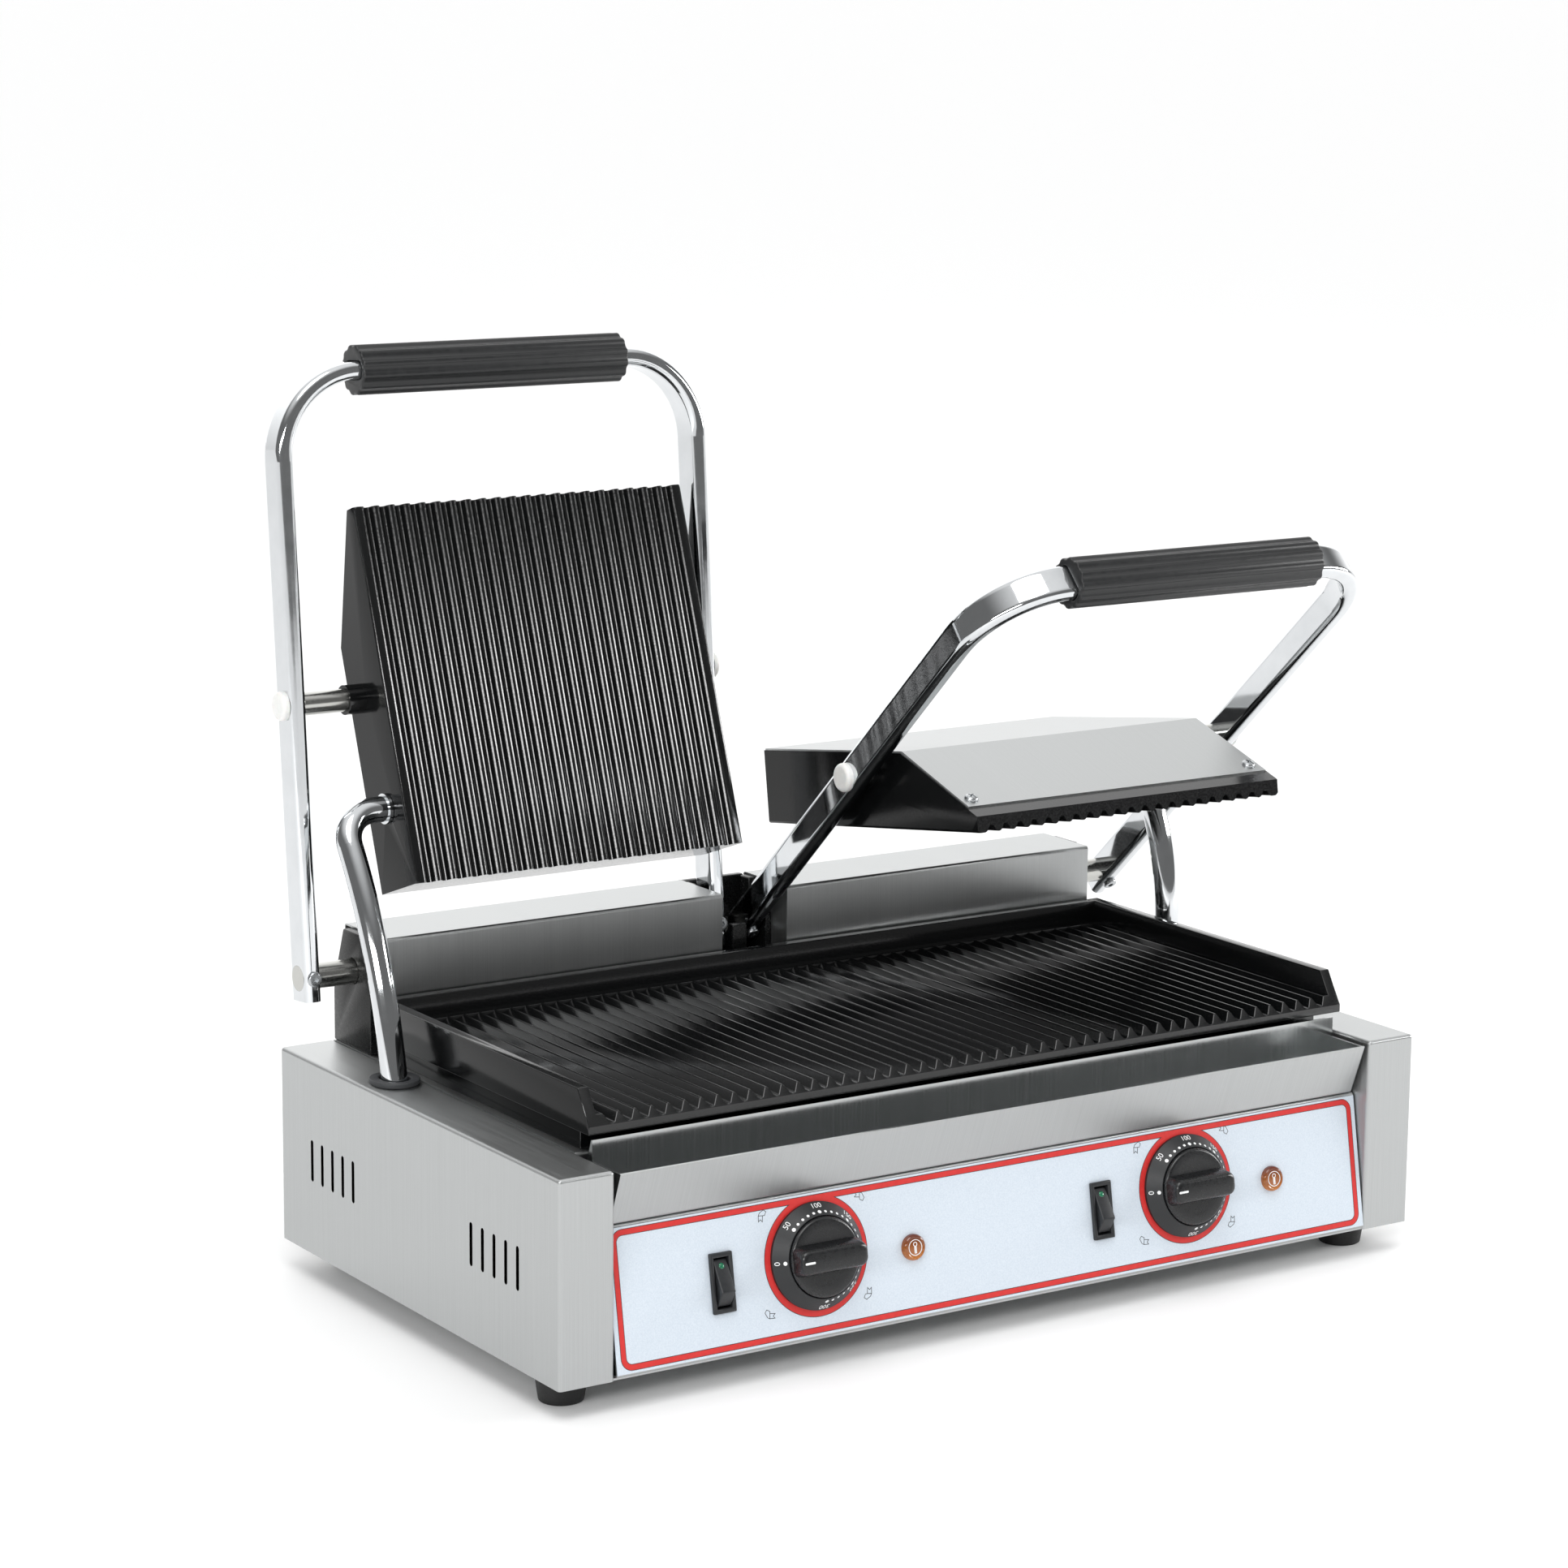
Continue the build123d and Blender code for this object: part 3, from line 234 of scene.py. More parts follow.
# Feet, moulded black rubber: dull, with a bloom of fine dust
rubberLook = {"dark": "#141414", "light": "#232323", "grain": 1.2, "roughness": (0.55, 0.70),
              "relief": 0.25, "height": 0.06, "shader": {"IOR": 1.52}}
# Grommets, dark grey silicone rubber
siliconeLook = {"dark": "#333436", "light": "#434547", "grain": 1.4, "roughness": (0.48, 0.60),
                "relief": 0.15, "height": 0.05, "shader": {"IOR": 1.43}}
# Heater sheath, drawn Incoloy tube: heat-tinted brown-grey and dull
sheathLook = {"dark": "#4C4640", "light": "#6E665C", "grain": 9.0, "roughness": (0.42, 0.58),
              "relief": 0.10, "height": 0.05, "shader": {"Metallic": 1.0}}
# Thermostat bodies, brown moulded phenolic
phenolicLook = {"dark": "#3B2A20", "light": "#54402F", "grain": 1.1, "roughness": (0.40, 0.55),
                "relief": 0.20, "height": 0.05, "shader": {"IOR": 1.60}}
# Cord gland, grey moulded nylon
glandLook = {"dark": "#2A2C2E", "light": "#3B3D3F", "grain": 1.2, "roughness": (0.40, 0.52),
             "relief": 0.15, "height": 0.05, "shader": {"IOR": 1.53}}
# Switch lens, green polycarbonate moulded clear over a neon lamp that is off
greenLensLook = {"dark": "#0B4A33", "light": "#1C8A5F", "grain": 0.9, "roughness": (0.12, 0.20),
                 "relief": 0.15, "height": 0.05,
                 "shader": {"IOR": 1.58, "Coat Weight": 0.6, "Coat Roughness": 0.05}}

# Pilot lens, amber polycarbonate moulded over a bed of small prisms under a clear face. Each prism is painted
# bright in its middle and darker at its edges, a painted highlight of light through the prisms, and the lens
# is painted darker towards its top as painted shade
amberLook = {"dark": "#7A2E08", "light": "#D88420", "top": "#5E2008", "prism": 1.7, "turned": 45.0,
             "middle": 56.931, "radius": 7.2, "relief": 0.25, "height": 0.2,
             "shader": {"Roughness": 0.12, "IOR": 1.58, "Coat Weight": 0.3, "Coat Roughness": 0.04}}


def amberLens(look):
    material, tree, place = startMaterial("amber_polycarbonate_lens")
    cells = addNode(tree, "ShaderNodeMapping", inputs={
        "Vector": place.outputs["Object"], "Rotation": (0, math.radians(look["turned"]), 0),
        "Scale": (1 / (look["prism"] * mm),) * 3})
    prisms = addNode(tree, "ShaderNodeTexVoronoi", {"distance": "CHEBYCHEV"}, {
        "Vector": cells.outputs[0], "Scale": 1.0, "Randomness": 0.0})
    apart = addNode(tree, "ShaderNodeSeparateXYZ", inputs={"Vector": place.outputs["Object"]})
    # Painted shade: the colour darkens from the middle of the lens towards its top
    upper = addNode(tree, "ShaderNodeMapRange", inputs={
        "Value": apart.outputs["Z"], "From Min": (look["middle"] - look["radius"]) * mm,
        "From Max": (look["middle"] + look["radius"]) * mm, "To Min": 0.0, "To Max": 1.0})
    # Painted highlight: each prism's colour is bright in its middle and darker towards its edges
    paintedPrismHighlight = addNode(tree, "ShaderNodeMix", {"data_type": "RGBA"}, {
        0: prisms.outputs[0], 6: linearColour(look["light"]), 7: linearColour(look["dark"])})
    shade = addNode(tree, "ShaderNodeMix", {"data_type": "RGBA"}, {
        0: upper.outputs[0], 6: paintedPrismHighlight.outputs[2], 7: linearColour(look["top"])})
    bump = addNode(tree, "ShaderNodeBump", inputs={
        "Strength": look["relief"], "Distance": look["height"] * mm, "Height": prisms.outputs[0]})
    closeMaterial(tree, dict(look["shader"], **{"Base Color": shade.outputs[2], "Normal": bump.outputs[0]}))
    return material


stainless = brushedStainless("brushed_stainless_sheet", stainlessLook)
traySteel = brushedStainless("bright_backed_stainless_sheet", trayLook)
# The side covers' steel, with painted shade on their insides and slot walls
coverSteel = brushedStainless("stainless_sheet_with_painted_inner_shade", coverLook)
enamel = grainedSkin("enamelled_cast_iron", enamelLook)
powder = grainedSkin("powder_coated_casting", powderLook)
chrome = grainedSkin("chrome_plated_tube", chromeLook)
nickel = grainedSkin("nickel_plated_steel", nickelLook)
zinc = grainedSkin("zinc_plated_steel", zincLook)
film = grainedSkin("printed_polyester_film", filmLook)
redInk = grainedSkin("red_screen_ink", redInkLook)
darkInk = grainedSkin("charcoal_screen_ink", darkInkLook)
whiteInk = grainedSkin("white_pad_ink", whiteInkLook)
dialPlastic = grainedSkin("textured_black_abs", dialLook)
knobPlastic = grainedSkin("polished_black_phenolic", knobLook)
switchPlastic = grainedSkin("satin_black_nylon", switchLook)
gripPlastic = grainedSkin("extruded_black_polypropylene", gripLook)
capPlastic = grainedSkin("white_moulded_nylon", capLook)
rubber = grainedSkin("moulded_black_rubber", rubberLook)
silicone = grainedSkin("grey_silicone_rubber", siliconeLook)
sheath = grainedSkin("heat_tinted_incoloy", sheathLook)
phenolic = grainedSkin("brown_phenolic", phenolicLook)
glandNylon = grainedSkin("grey_moulded_nylon", glandLook)
greenLens = grainedSkin("green_polycarbonate_lens", greenLensLook)
amber = amberLens(amberLook)
print("materials made")


# Shapes are drawn in millimetres and then stood in the frame
def standAt(origin, xAxis, zAxis):
    xAxis = Vector(xAxis).normalized()
    zAxis = Vector(zAxis).normalized()
    turned = Matrix((xAxis, zAxis.cross(xAxis), zAxis)).transposed().to_4x4()
    return Matrix.Translation(Vector(origin) * mm) @ turned @ Matrix.Scale(mm, 4)


def addPiece(name, shape, material, body, replaced=(), sharp=38.0):
    mesh = bpy.data.meshes.new(name)
    shape.to_mesh(mesh)
    shape.free()
    if "custom_normal" in mesh.attributes:
        mesh.attributes.remove(mesh.attributes["custom_normal"])
    mesh.shade_smooth()
    mesh.set_sharp_from_angle(angle=math.radians(sharp))
    mesh.materials.clear()
    mesh.materials.append(material)
    piece = bpy.data.objects.new(name, mesh)
    scene.collection.objects.link(piece)
    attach(piece, body)
    if replaced:
        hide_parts(*replaced)
    return piece


def circleLoop(radius, z, steps=48):
    turns = [2 * math.pi * i / steps for i in range(steps)]
    return [Vector((radius * math.cos(a), radius * math.sin(a), z)) for a in turns]


def roundedLoop(length, width, radius, z=0.0, steps=6):
    loop = []
    for signX, signY, start in ((1, 1, 0), (-1, 1, 90), (-1, -1, 180), (1, -1, 270)):
        for i in range(steps + 1):
            a = math.radians(start + 90 * i / steps)
            x = signX * (length / 2 - radius) + radius * math.cos(a)
            y = signY * (width / 2 - radius) + radius * math.sin(a)
            loop.append(Vector((x, y, z)))
    return loop


def loft(loops, shape=None):
    shape = shape or bmesh.new()
    rings = [[shape.verts.new(point) for point in loop] for loop in loops]
    for low, high in zip(rings, rings[1:]):
        for i in range(len(low)):
            j = (i + 1) % len(low)
            shape.faces.new((low[i], low[j], high[j], high[i]))
    shape.faces.new(list(reversed(rings[0])))
    shape.faces.new(rings[-1])
    return shape


def toShape(data, lift=0.0):
    holder = bpy.data.objects.new("holder", data)
    scene.collection.objects.link(holder)
    bpy.context.view_layer.update()
    mesh = bpy.data.meshes.new_from_object(holder.evaluated_get(bpy.context.evaluated_depsgraph_get()))
    shape = bmesh.new()
    shape.from_mesh(mesh)
    bmesh.ops.translate(shape, verts=shape.verts, vec=(0, 0, lift))
    bpy.data.objects.remove(holder)
    bpy.data.meshes.remove(mesh)
    return shape


def flatFigure(outlines, thickness):
    curve = bpy.data.curves.new("figure", "CURVE")
    curve.dimensions = "2D"
    curve.fill_mode = "BOTH"
    curve.extrude = thickness / 2
    for outline in outlines:
        spline = curve.splines.new("POLY")
        spline.points.add(len(outline) - 1)
        for point, spot in zip(spline.points, outline):
            point.co = (spot[0], spot[1], 0, 1)
        spline.use_cyclic_u = True
    return toShape(curve, thickness / 2)


def joinShapes(shapes):
    whole = bmesh.new()
    for shape in shapes:
        mesh = bpy.data.meshes.new("part")
        shape.to_mesh(mesh)
        shape.free()
        whole.from_mesh(mesh)
        bpy.data.meshes.remove(mesh)
    return whole


def stand(shape, matrix):
    bmesh.ops.transform(shape, matrix=matrix, verts=shape.verts)
    return shape


def carve(shape, cutter):
    holders = []
    for part in (shape, cutter):
        mesh = bpy.data.meshes.new("carved")
        part.to_mesh(mesh)
        part.free()
        holder = bpy.data.objects.new("carved", mesh)
        scene.collection.objects.link(holder)
        holders.append(holder)
    cut = holders[0].modifiers.new("cut", "BOOLEAN")
    cut.operation = "DIFFERENCE"
    cut.solver = "EXACT"
    cut.object = holders[1]
    bpy.context.view_layer.update()
    mesh = bpy.data.meshes.new_from_object(holders[0].evaluated_get(bpy.context.evaluated_depsgraph_get()))
    result = bmesh.new()
    result.from_mesh(mesh)
    bpy.data.meshes.remove(mesh)
    for holder in holders:
        data = holder.data
        bpy.data.objects.remove(holder)
        bpy.data.meshes.remove(data)
    return result


# How far each piece's hard edges are rounded, the way casting and moulding leave them
softEdges = {"lowerPlate": 0.6, "upperPlate": 0.6, "upperRibs": 1.6, "bracket": 1.0, "foot": 1.0, "grip": 1.2,
             "switch": 0.7, "rocker": 0.8, "grommet": 0.8}
softening = {"merge": 0.02, "flat": 0.4, "ridgeLength": 150.0, "ridgeSteps": 5, "endCorners": 40,
             "shadedFrom": 30.0}


def isRidge(edge):  # a long edge that runs along the ribs
    level = abs(edge.verts[0].co.x - edge.verts[1].co.x) < mm
    return level and edge.calc_length() > softening["ridgeLength"] * mm


def leavesEnds(edge):  # not on a rib's end, whose outline has many corners
    return max(len(face.verts) for face in edge.link_faces) < softening["endCorners"]


def roundEdges(shape, width, steps, sharpest, chosen):
    hard = [e for e in shape.edges if len(e.link_faces) == 2 and e.is_convex
            and e.calc_face_angle(0.0) > math.radians(sharpest) and (chosen is None or chosen(e))]
    bmesh.ops.bevel(shape, geom=hard, offset=width * mm, offset_type="OFFSET", segments=steps, profile=0.5,
                    affect="EDGES", clamp_overlap=False, loop_slide=True)


# A CAD node's copy with soft edges takes the node's place
def softenNode(node, material, body, edge, sharpest=34.0, segments=3, ridge=0.0):
    shape = bmesh.new()
    shape.from_mesh(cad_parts[node].data)
    bmesh.ops.remove_doubles(shape, verts=shape.verts, dist=softening["merge"] * mm)
    bmesh.ops.dissolve_limit(shape, angle_limit=math.radians(softening["flat"]), verts=shape.verts,
                             edges=shape.edges, use_dissolve_boundaries=False)
    if ridge:
        roundEdges(shape, ridge, softening["ridgeSteps"], sharpest, isRidge)
    roundEdges(shape, edge, segments, sharpest, leavesEnds if ridge else None)
    return addPiece(node + "_finish", shape, material, body, (node,), sharp=softening["shadedFrom"])


softenNode("lower_plate", enamel, "base", softEdges["lowerPlate"])
softenNode("centre_hinge_bracket", powder, "base", softEdges["bracket"])
for side, name in sides:
    softenNode(name + "_upper_plate", enamel, name + "_plate", softEdges["upperPlate"],
               ridge=softEdges["upperRibs"])
    softenNode(name + "_hinge_bracket", powder, "base", softEdges["bracket"])
    softenNode(name + "_grip", gripPlastic, name + "_lid", softEdges["grip"], sharpest=18.0)
    softenNode(name + "_switch_housing", switchPlastic, "base", softEdges["switch"])
    softenNode(name + "_rocker", switchPlastic, name + "_rocker", softEdges["rocker"],
               segments=4)
    softenNode(name + "_grommet", silicone, "base", softEdges["grommet"])
    for end in ("front", "rear"):
        softenNode(name + "_" + end + "_foot", rubber, "base", softEdges["foot"])
print("castings, grips, switches and feet softened")


# The leaning panel: x to the right, s up its slope, h out from its sheet
panelLook = {"foot": (-160.3, 18.5), "lean": 9.8, "film": 0.4, "knobX": 124.35, "knobRise": 44.25}
lean = math.radians(panelLook["lean"])
panelUp = Vector((0, math.sin(lean), math.cos(lean)))
panelOut = Vector((0, -math.cos(lean), math.sin(lean)))


def panelSpot(x, s, h):
    return Vector((x, panelLook["foot"][0], panelLook["foot"][1])) + panelUp * s + panelOut * h


def onPanel(x, s, h):
    return standAt(panelSpot(x, s, h), (1, 0, 0), panelOut)


# Red line printed round the panel, with a ring round each dial and a thin dark edge to both
borderLook = {"left": -248.0, "right": 248.0, "low": 3.4, "high": 76.3, "line": 2.8, "corner": 6.5,
              "ring": 32.3, "ringInner": 28.0, "edge": 0.35, "ink": 0.05, "redLift": 0.03, "ringLift": 0.005}


def borderLoop(inset):
    look = borderLook
    length = look["right"] - look["left"] - 2 * inset
    height = look["high"] - look["low"] - 2 * inset
    centre = Vector(((look["left"] + look["right"]) / 2, (look["low"] + look["high"]) / 2, 0))
    corner = max(look["corner"] - inset, 0.5)
    return [point + centre for point in roundedLoop(length, height, corner, steps=10)]


def ringLoop(x, radius, top):
    loop = []
    for point in circleLoop(radius, 0.0, 120):
        loop.append(Vector((point.x + x, min(point.y + panelLook["knobRise"], top), 0)))
    return loop


def printBorder():
    look = borderLook
    layers = (("panel_dark_edges", look["edge"], 0.0, darkInk),
              ("panel_red_line", 0.0, look["redLift"], redInk))
    for name, grow, lift, ink in layers:
        figures = [flatFigure([borderLoop(-grow), borderLoop(look["line"] + grow)], look["ink"])]
        for side, _ in sides:
            x = side * panelLook["knobX"]
            outer = ringLoop(x, look["ring"] + grow, look["high"] + grow)
            inner = ringLoop(x, look["ringInner"], look["high"])
            raised = Matrix.Translation((0, 0, look["ringLift"]))
            figures.append(stand(flatFigure([outer, inner], look["ink"]), raised))
        place = onPanel(0, 0, panelLook["film"] + lift)
        addPiece(name, stand(joinShapes(figures), place), ink, "base")


printBorder()


# Small outlined arrows that show which way the knobs turn
arrowLook = {"tail": ((-2.5, -2.9), (-1.2, -1.9), (-0.1, -3.2), (0.4, 0.0), (-2.3, 0.3)),
             "head": ((-2.3, 0.3), (-1.5, 1.7), (1.1, 3.0), (2.6, 1.8), (1.6, 0.0), (0.4, 0.0)),
             "line": 0.32, "ink": 0.05, "spots": ((-31.6, 26.0), (30.3, 27.0), (30.6, -25.4), (-31.8, -26.2))}


def offsetLoop(loop, amount):
    moved = []
    area = sum(a[0] * b[1] - b[0] * a[1] for a, b in zip(loop, loop[1:] + loop[:1]))
    for i, point in enumerate(loop):
        back = (Vector(point) - Vector(loop[i - 1])).normalized()
        ahead = (Vector(loop[(i + 1) % len(loop)]) - Vector(point)).normalized()
        normals = [Vector((d.y, -d.x)) * (1 if area > 0 else -1) for d in (back, ahead)]
        mitre = (normals[0] + normals[1]).normalized()
        moved.append(Vector(point) + mitre * amount / max(mitre.dot(normals[0]), 0.4))
    return moved


def printArrows(name, knobX):
    look = arrowLook
    figures = []
    for quarter, (dx, ds) in enumerate(look["spots"]):
        for outline in (look["tail"], look["head"]):
            points = [Vector(p) for p in outline]
            loops = [offsetLoop(points, look["line"] / 2), offsetLoop(points, -look["line"] / 2)]
            turn = Matrix.Rotation(math.radians(-90 * quarter), 4, "Z")
            spot = Matrix.Translation((dx, ds, 0))
            figures.append(stand(flatFigure(loops, look["ink"]), spot @ turn))
    place = onPanel(knobX, panelLook["knobRise"], panelLook["film"])
    addPiece(name + "_turn_arrows", stand(joinShapes(figures), place), darkInk, "base")


# Dial scale on the sloping face: numbers near its foot, dots near its top
dialPrint = {"low": (28.9, 2.2), "high": (22.6, 8.6), "numberRadius": 26.9, "dotRadius": 23.9, "textSize": 4.4,
             "smallDot": 0.80, "largeDot": 1.08, "ink": 0.06, "zeroAt": 180.0, "perDegree": 0.9,
             "hottest": 300, "dotEvery": 10, "numberEvery": 50}


def dialSpot(radius, angle):
    look = dialPrint
    a = math.radians(angle)
    run = look["low"][0] - look["high"][0]
    fall = look["high"][1] - look["low"][1]
    height = look["low"][1] + (look["low"][0] - radius) / run * fall
    outward = Vector((math.cos(a) * run, math.sin(a) * run, -fall)).normalized()
    xAxis = Vector((math.sin(a), -math.cos(a), 0))
    turned = Matrix((xAxis, outward, xAxis.cross(outward))).transposed().to_4x4()
    return Matrix.Translation((radius * math.cos(a), radius * math.sin(a), height)) @ turned


def textFigure(words, size, thickness):
    text = bpy.data.curves.new("figure", "FONT")
    text.body = words
    text.size = size
    text.align_x = "CENTER"
    text.align_y = "CENTER"
    text.extrude = thickness / 2
    return toShape(text, thickness / 2)


def printDial(name, knobX):
    look = dialPrint
    figures = []
    for value in range(0, look["hottest"] + 1, look["dotEvery"]):
        angle = look["zeroAt"] - value * look["perDegree"]
        numbered = value % look["numberEvery"] == 0
        if numbered:
            number = textFigure(str(value), look["textSize"], look["ink"])
            figures.append(stand(number, dialSpot(look["numberRadius"], angle)))
        if numbered or value > look["numberEvery"]:
            radius = look["largeDot"] if numbered else look["smallDot"]
            dot = loft([circleLoop(radius, 0.0, 20), circleLoop(radius, look["ink"], 20)])
            figures.append(stand(dot, dialSpot(look["dotRadius"], angle)))
    place = onPanel(knobX, panelLook["knobRise"], 0.0)
    addPiece(name + "_dial_scale", stand(joinShapes(figures), place), whiteInk, "base")


# Knob: a turned skirt under a tapered finger bar with a white pointer
knobShape = {"foot": 2.3, "radius": 21.6, "skirt": 8.5, "shoulder": 2.0, "dish": (6.0, 0.1), "barLength": 41.6,
             "barTop": 12.6, "barRoot": 16.4, "barHeight": 9.3, "barCorner": 4.2, "spindle": 3.0,
             "spindleLength": 17.5, "pointer": (6.4, 1.2, -16.4), "ink": 0.06}


def buildKnob(name, knobX):
    look = knobShape
    r, top, turn = look["radius"], look["skirt"], look["shoulder"]
    profile = [(look["spindle"], -look["spindleLength"]), (look["spindle"], 0.0), (r - 0.8, 0.0), (r, 0.8)]
    for i in range(7):
        a = math.radians(90 * i / 6)
        profile.append((r - turn + turn * math.cos(a), top - turn + turn * math.sin(a)))
    profile.append((r - look["dish"][0], top - look["dish"][1]))
    skirt = loft([circleLoop(radius, z, 72) for radius, z in profile])
    loops = []
    rise = look["barHeight"]
    steps = ((-0.6, 1.10, 0.0), (0.6, 1.0, 0.0), (rise * 0.35, 0.62, 0.0), (rise * 0.7, 0.25, 0.0),
             (rise - 2.0, 0.04, 0.0), (rise - 1.2, 0.0, 0.25), (rise - 0.5, 0.0, 0.8), (rise - 0.1, 0.0, 1.7),
             (rise, 0.0, 2.6))
    for z, spread, inset in steps:  # the flanks draw in, then the top rounds over
        width = look["barTop"] + (look["barRoot"] - look["barTop"]) * spread - 2 * inset
        length = look["barLength"] - 2 * inset
        loops.append(roundedLoop(length, width, min(width / 2 - 0.2, look["barCorner"]), top + z, steps=8))
    bar = loft(loops)
    place = onPanel(knobX, panelLook["knobRise"], look["foot"])
    shape = stand(joinShapes([skirt, bar]), place)
    addPiece(name + "_knob_finish", shape, knobPlastic, name + "_knob", (name + "_knob",),
             sharp=42.0)
    length, width, x = look["pointer"]
    line = flatFigure([roundedLoop(length, width, width / 2 - 0.05)], look["ink"])
    place = onPanel(knobX, panelLook["knobRise"], look["foot"] + top + rise) @ Matrix.Translation((x, 0, 0))
    addPiece(name + "_pointer", stand(line, place), whiteInk, name + "_knob")


# Lens dot in the rocker's upper end
lensLook = {"switchX": -59.9, "rise": 39.5, "tilt": 13.0, "along": 8.4, "height": 3.6, "slope": 10.6,
            "radius": 1.7}


def buildSwitchLens(name, knobX):
    look = lensLook
    tilt = math.radians(look["tilt"])
    along = panelUp * math.cos(tilt) - panelOut * math.sin(tilt)
    out = panelOut * math.cos(tilt) + panelUp * math.sin(tilt)
    centre = panelSpot(knobX + look["switchX"], look["rise"], panelLook["film"])
    slope = math.radians(look["slope"])
    normal = out * math.cos(slope) + along * math.sin(slope)
    spot = centre + along * look["along"] + out * look["height"]
    profile = ((1.0, -0.6), (1.0, -0.2), (0.96, 0.1), (0.85, 0.3), (0.6, 0.48), (0.25, 0.58))
    shape = loft([circleLoop(radius * look["radius"], z, 32) for radius, z in profile])
    shape = stand(shape, standAt(spot, (1, 0, 0), normal))
    addPiece(name + "_switch_lens", shape, greenLens, name + "_rocker")


# Pilot lamp: a domed lens with a raised rim and a printed thermometer in a ring
lampLook = {"lampX": 61.5, "rise": 39.0, "radius": 7.2, "stem": 5.9, "depth": 18.0, "face": 2.9, "ring": 4.4,
            "line": 0.42, "ink": 0.06,
            "tube": ((-0.75, -3.2), (0.75, -3.2), (0.75, 0.75), (1.2, 1.2), (1.35, 1.9), (1.05, 2.7),
                     (0.0, 3.1), (-1.05, 2.7), (-1.35, 1.9), (-1.2, 1.2), (-0.75, 0.75)),
            "column": ((-0.2, -2.6), (0.2, -2.6), (0.2, 0.9), (-0.2, 0.9))}


def buildLamp(name, knobX):
    look = lampLook
    r = look["radius"]
    profile = [(look["stem"], -look["depth"]), (look["stem"], 0.0), (r, 0.0), (r, 1.2), (r - 0.3, 2.2),
               (r - 0.9, 2.9), (r - 1.4, 3.15), (r - 1.8, 3.0), (r - 2.1, 2.75), (r - 3.5, 2.85),
               (0.3, look["face"])]
    shape = loft([circleLoop(radius, z, 64) for radius, z in profile])
    place = onPanel(knobX + look["lampX"], look["rise"], panelLook["film"])
    addPiece(name + "_lamp_lens", stand(shape, place), amber, "base", (name + "_lamp",))
    line, ring = look["line"], look["ring"]
    figures = [flatFigure([circleLoop(ring, 0, 64), circleLoop(ring - line, 0, 64)], look["ink"])]
    tube = [Vector(point) for point in look["tube"]]
    figures.append(flatFigure([tube, offsetLoop(tube, -line)], look["ink"]))
    figures.append(flatFigure([[Vector(point) for point in look["column"]]], look["ink"]))
    marks = stand(joinShapes(figures), place @ Matrix.Translation((0, 0, look["face"])))
    addPiece(name + "_lamp_mark", marks, whiteInk, "base")


for side, name in sides:
    knobX = side * panelLook["knobX"]
    printArrows(name, knobX)
    printDial(name, knobX)
    buildKnob(name, knobX)
    buildSwitchLens(name, knobX)
    buildLamp(name, knobX)
print("panel printed, controls built")


# Lids at rest: hinge line, arms and plates as the CAD has them
lidLook = {"hinge": (130.0, 173.8), "pinReach": 153.0, "arms": {"left": 95.0, "right": 43.0},
           "plates": {"left": 109.4, "right": 8.5}, "armX": (280.0, 12.1), "plateX": (23.5, 237.5)}


def lidAxes(angle):
    a = math.radians(angle)
    return Vector((0, -math.cos(a), math.sin(a))), Vector((0, math.sin(a), math.cos(a)))


# Set screws: a collar with a hexagon socket
setScrewLook = {"barHalf": 10.05, "collar": 4.2, "height": 2.4, "shank": 2.5, "depth": 2.6, "socket": 1.9}


def buildSetScrews(side, name):
    look = setScrewLook
    along, up = lidAxes(lidLook["arms"][name])
    screws = []
    for x in lidLook["armX"]:
        c, h = look["collar"], look["height"]
        profile = [(look["shank"], -look["depth"]), (look["shank"], 0.0), (c, 0.0), (c, h - 1.0),
                   (c - 0.2, h - 0.45), (c - 0.6, h - 0.1), (c - 1.0, h), (0.3, h)]
        shape = loft([circleLoop(radius, z, 40) for radius, z in profile])
        socket = loft([circleLoop(look["socket"], h - 1.8, 6), circleLoop(look["socket"], h + 1.0, 6)])
        spot = Vector((side * x, lidLook["hinge"][0], lidLook["hinge"][1])) - up * look["barHalf"]
        screws.append(stand(carve(shape, socket), standAt(spot, (1, 0, 0), -up)))
    addPiece(name + "_set_screws_finish", joinShapes(screws), zinc, name + "_lid",
             (name + "_set_screws",), sharp=30.0)


# Cover screws: low pan heads with a cross recess
coverScrewLook = {"edge": (94.0, -17.24), "run": 70.5, "fall": 34.2, "sheet": 1.0, "inset": 8.0,
                  "reach": 99.0, "head": 4.0, "height": 2.4, "shank": 2.0, "length": 8.0, "slot": (4.2, 1.0),
                  "blades": (35, 125)}


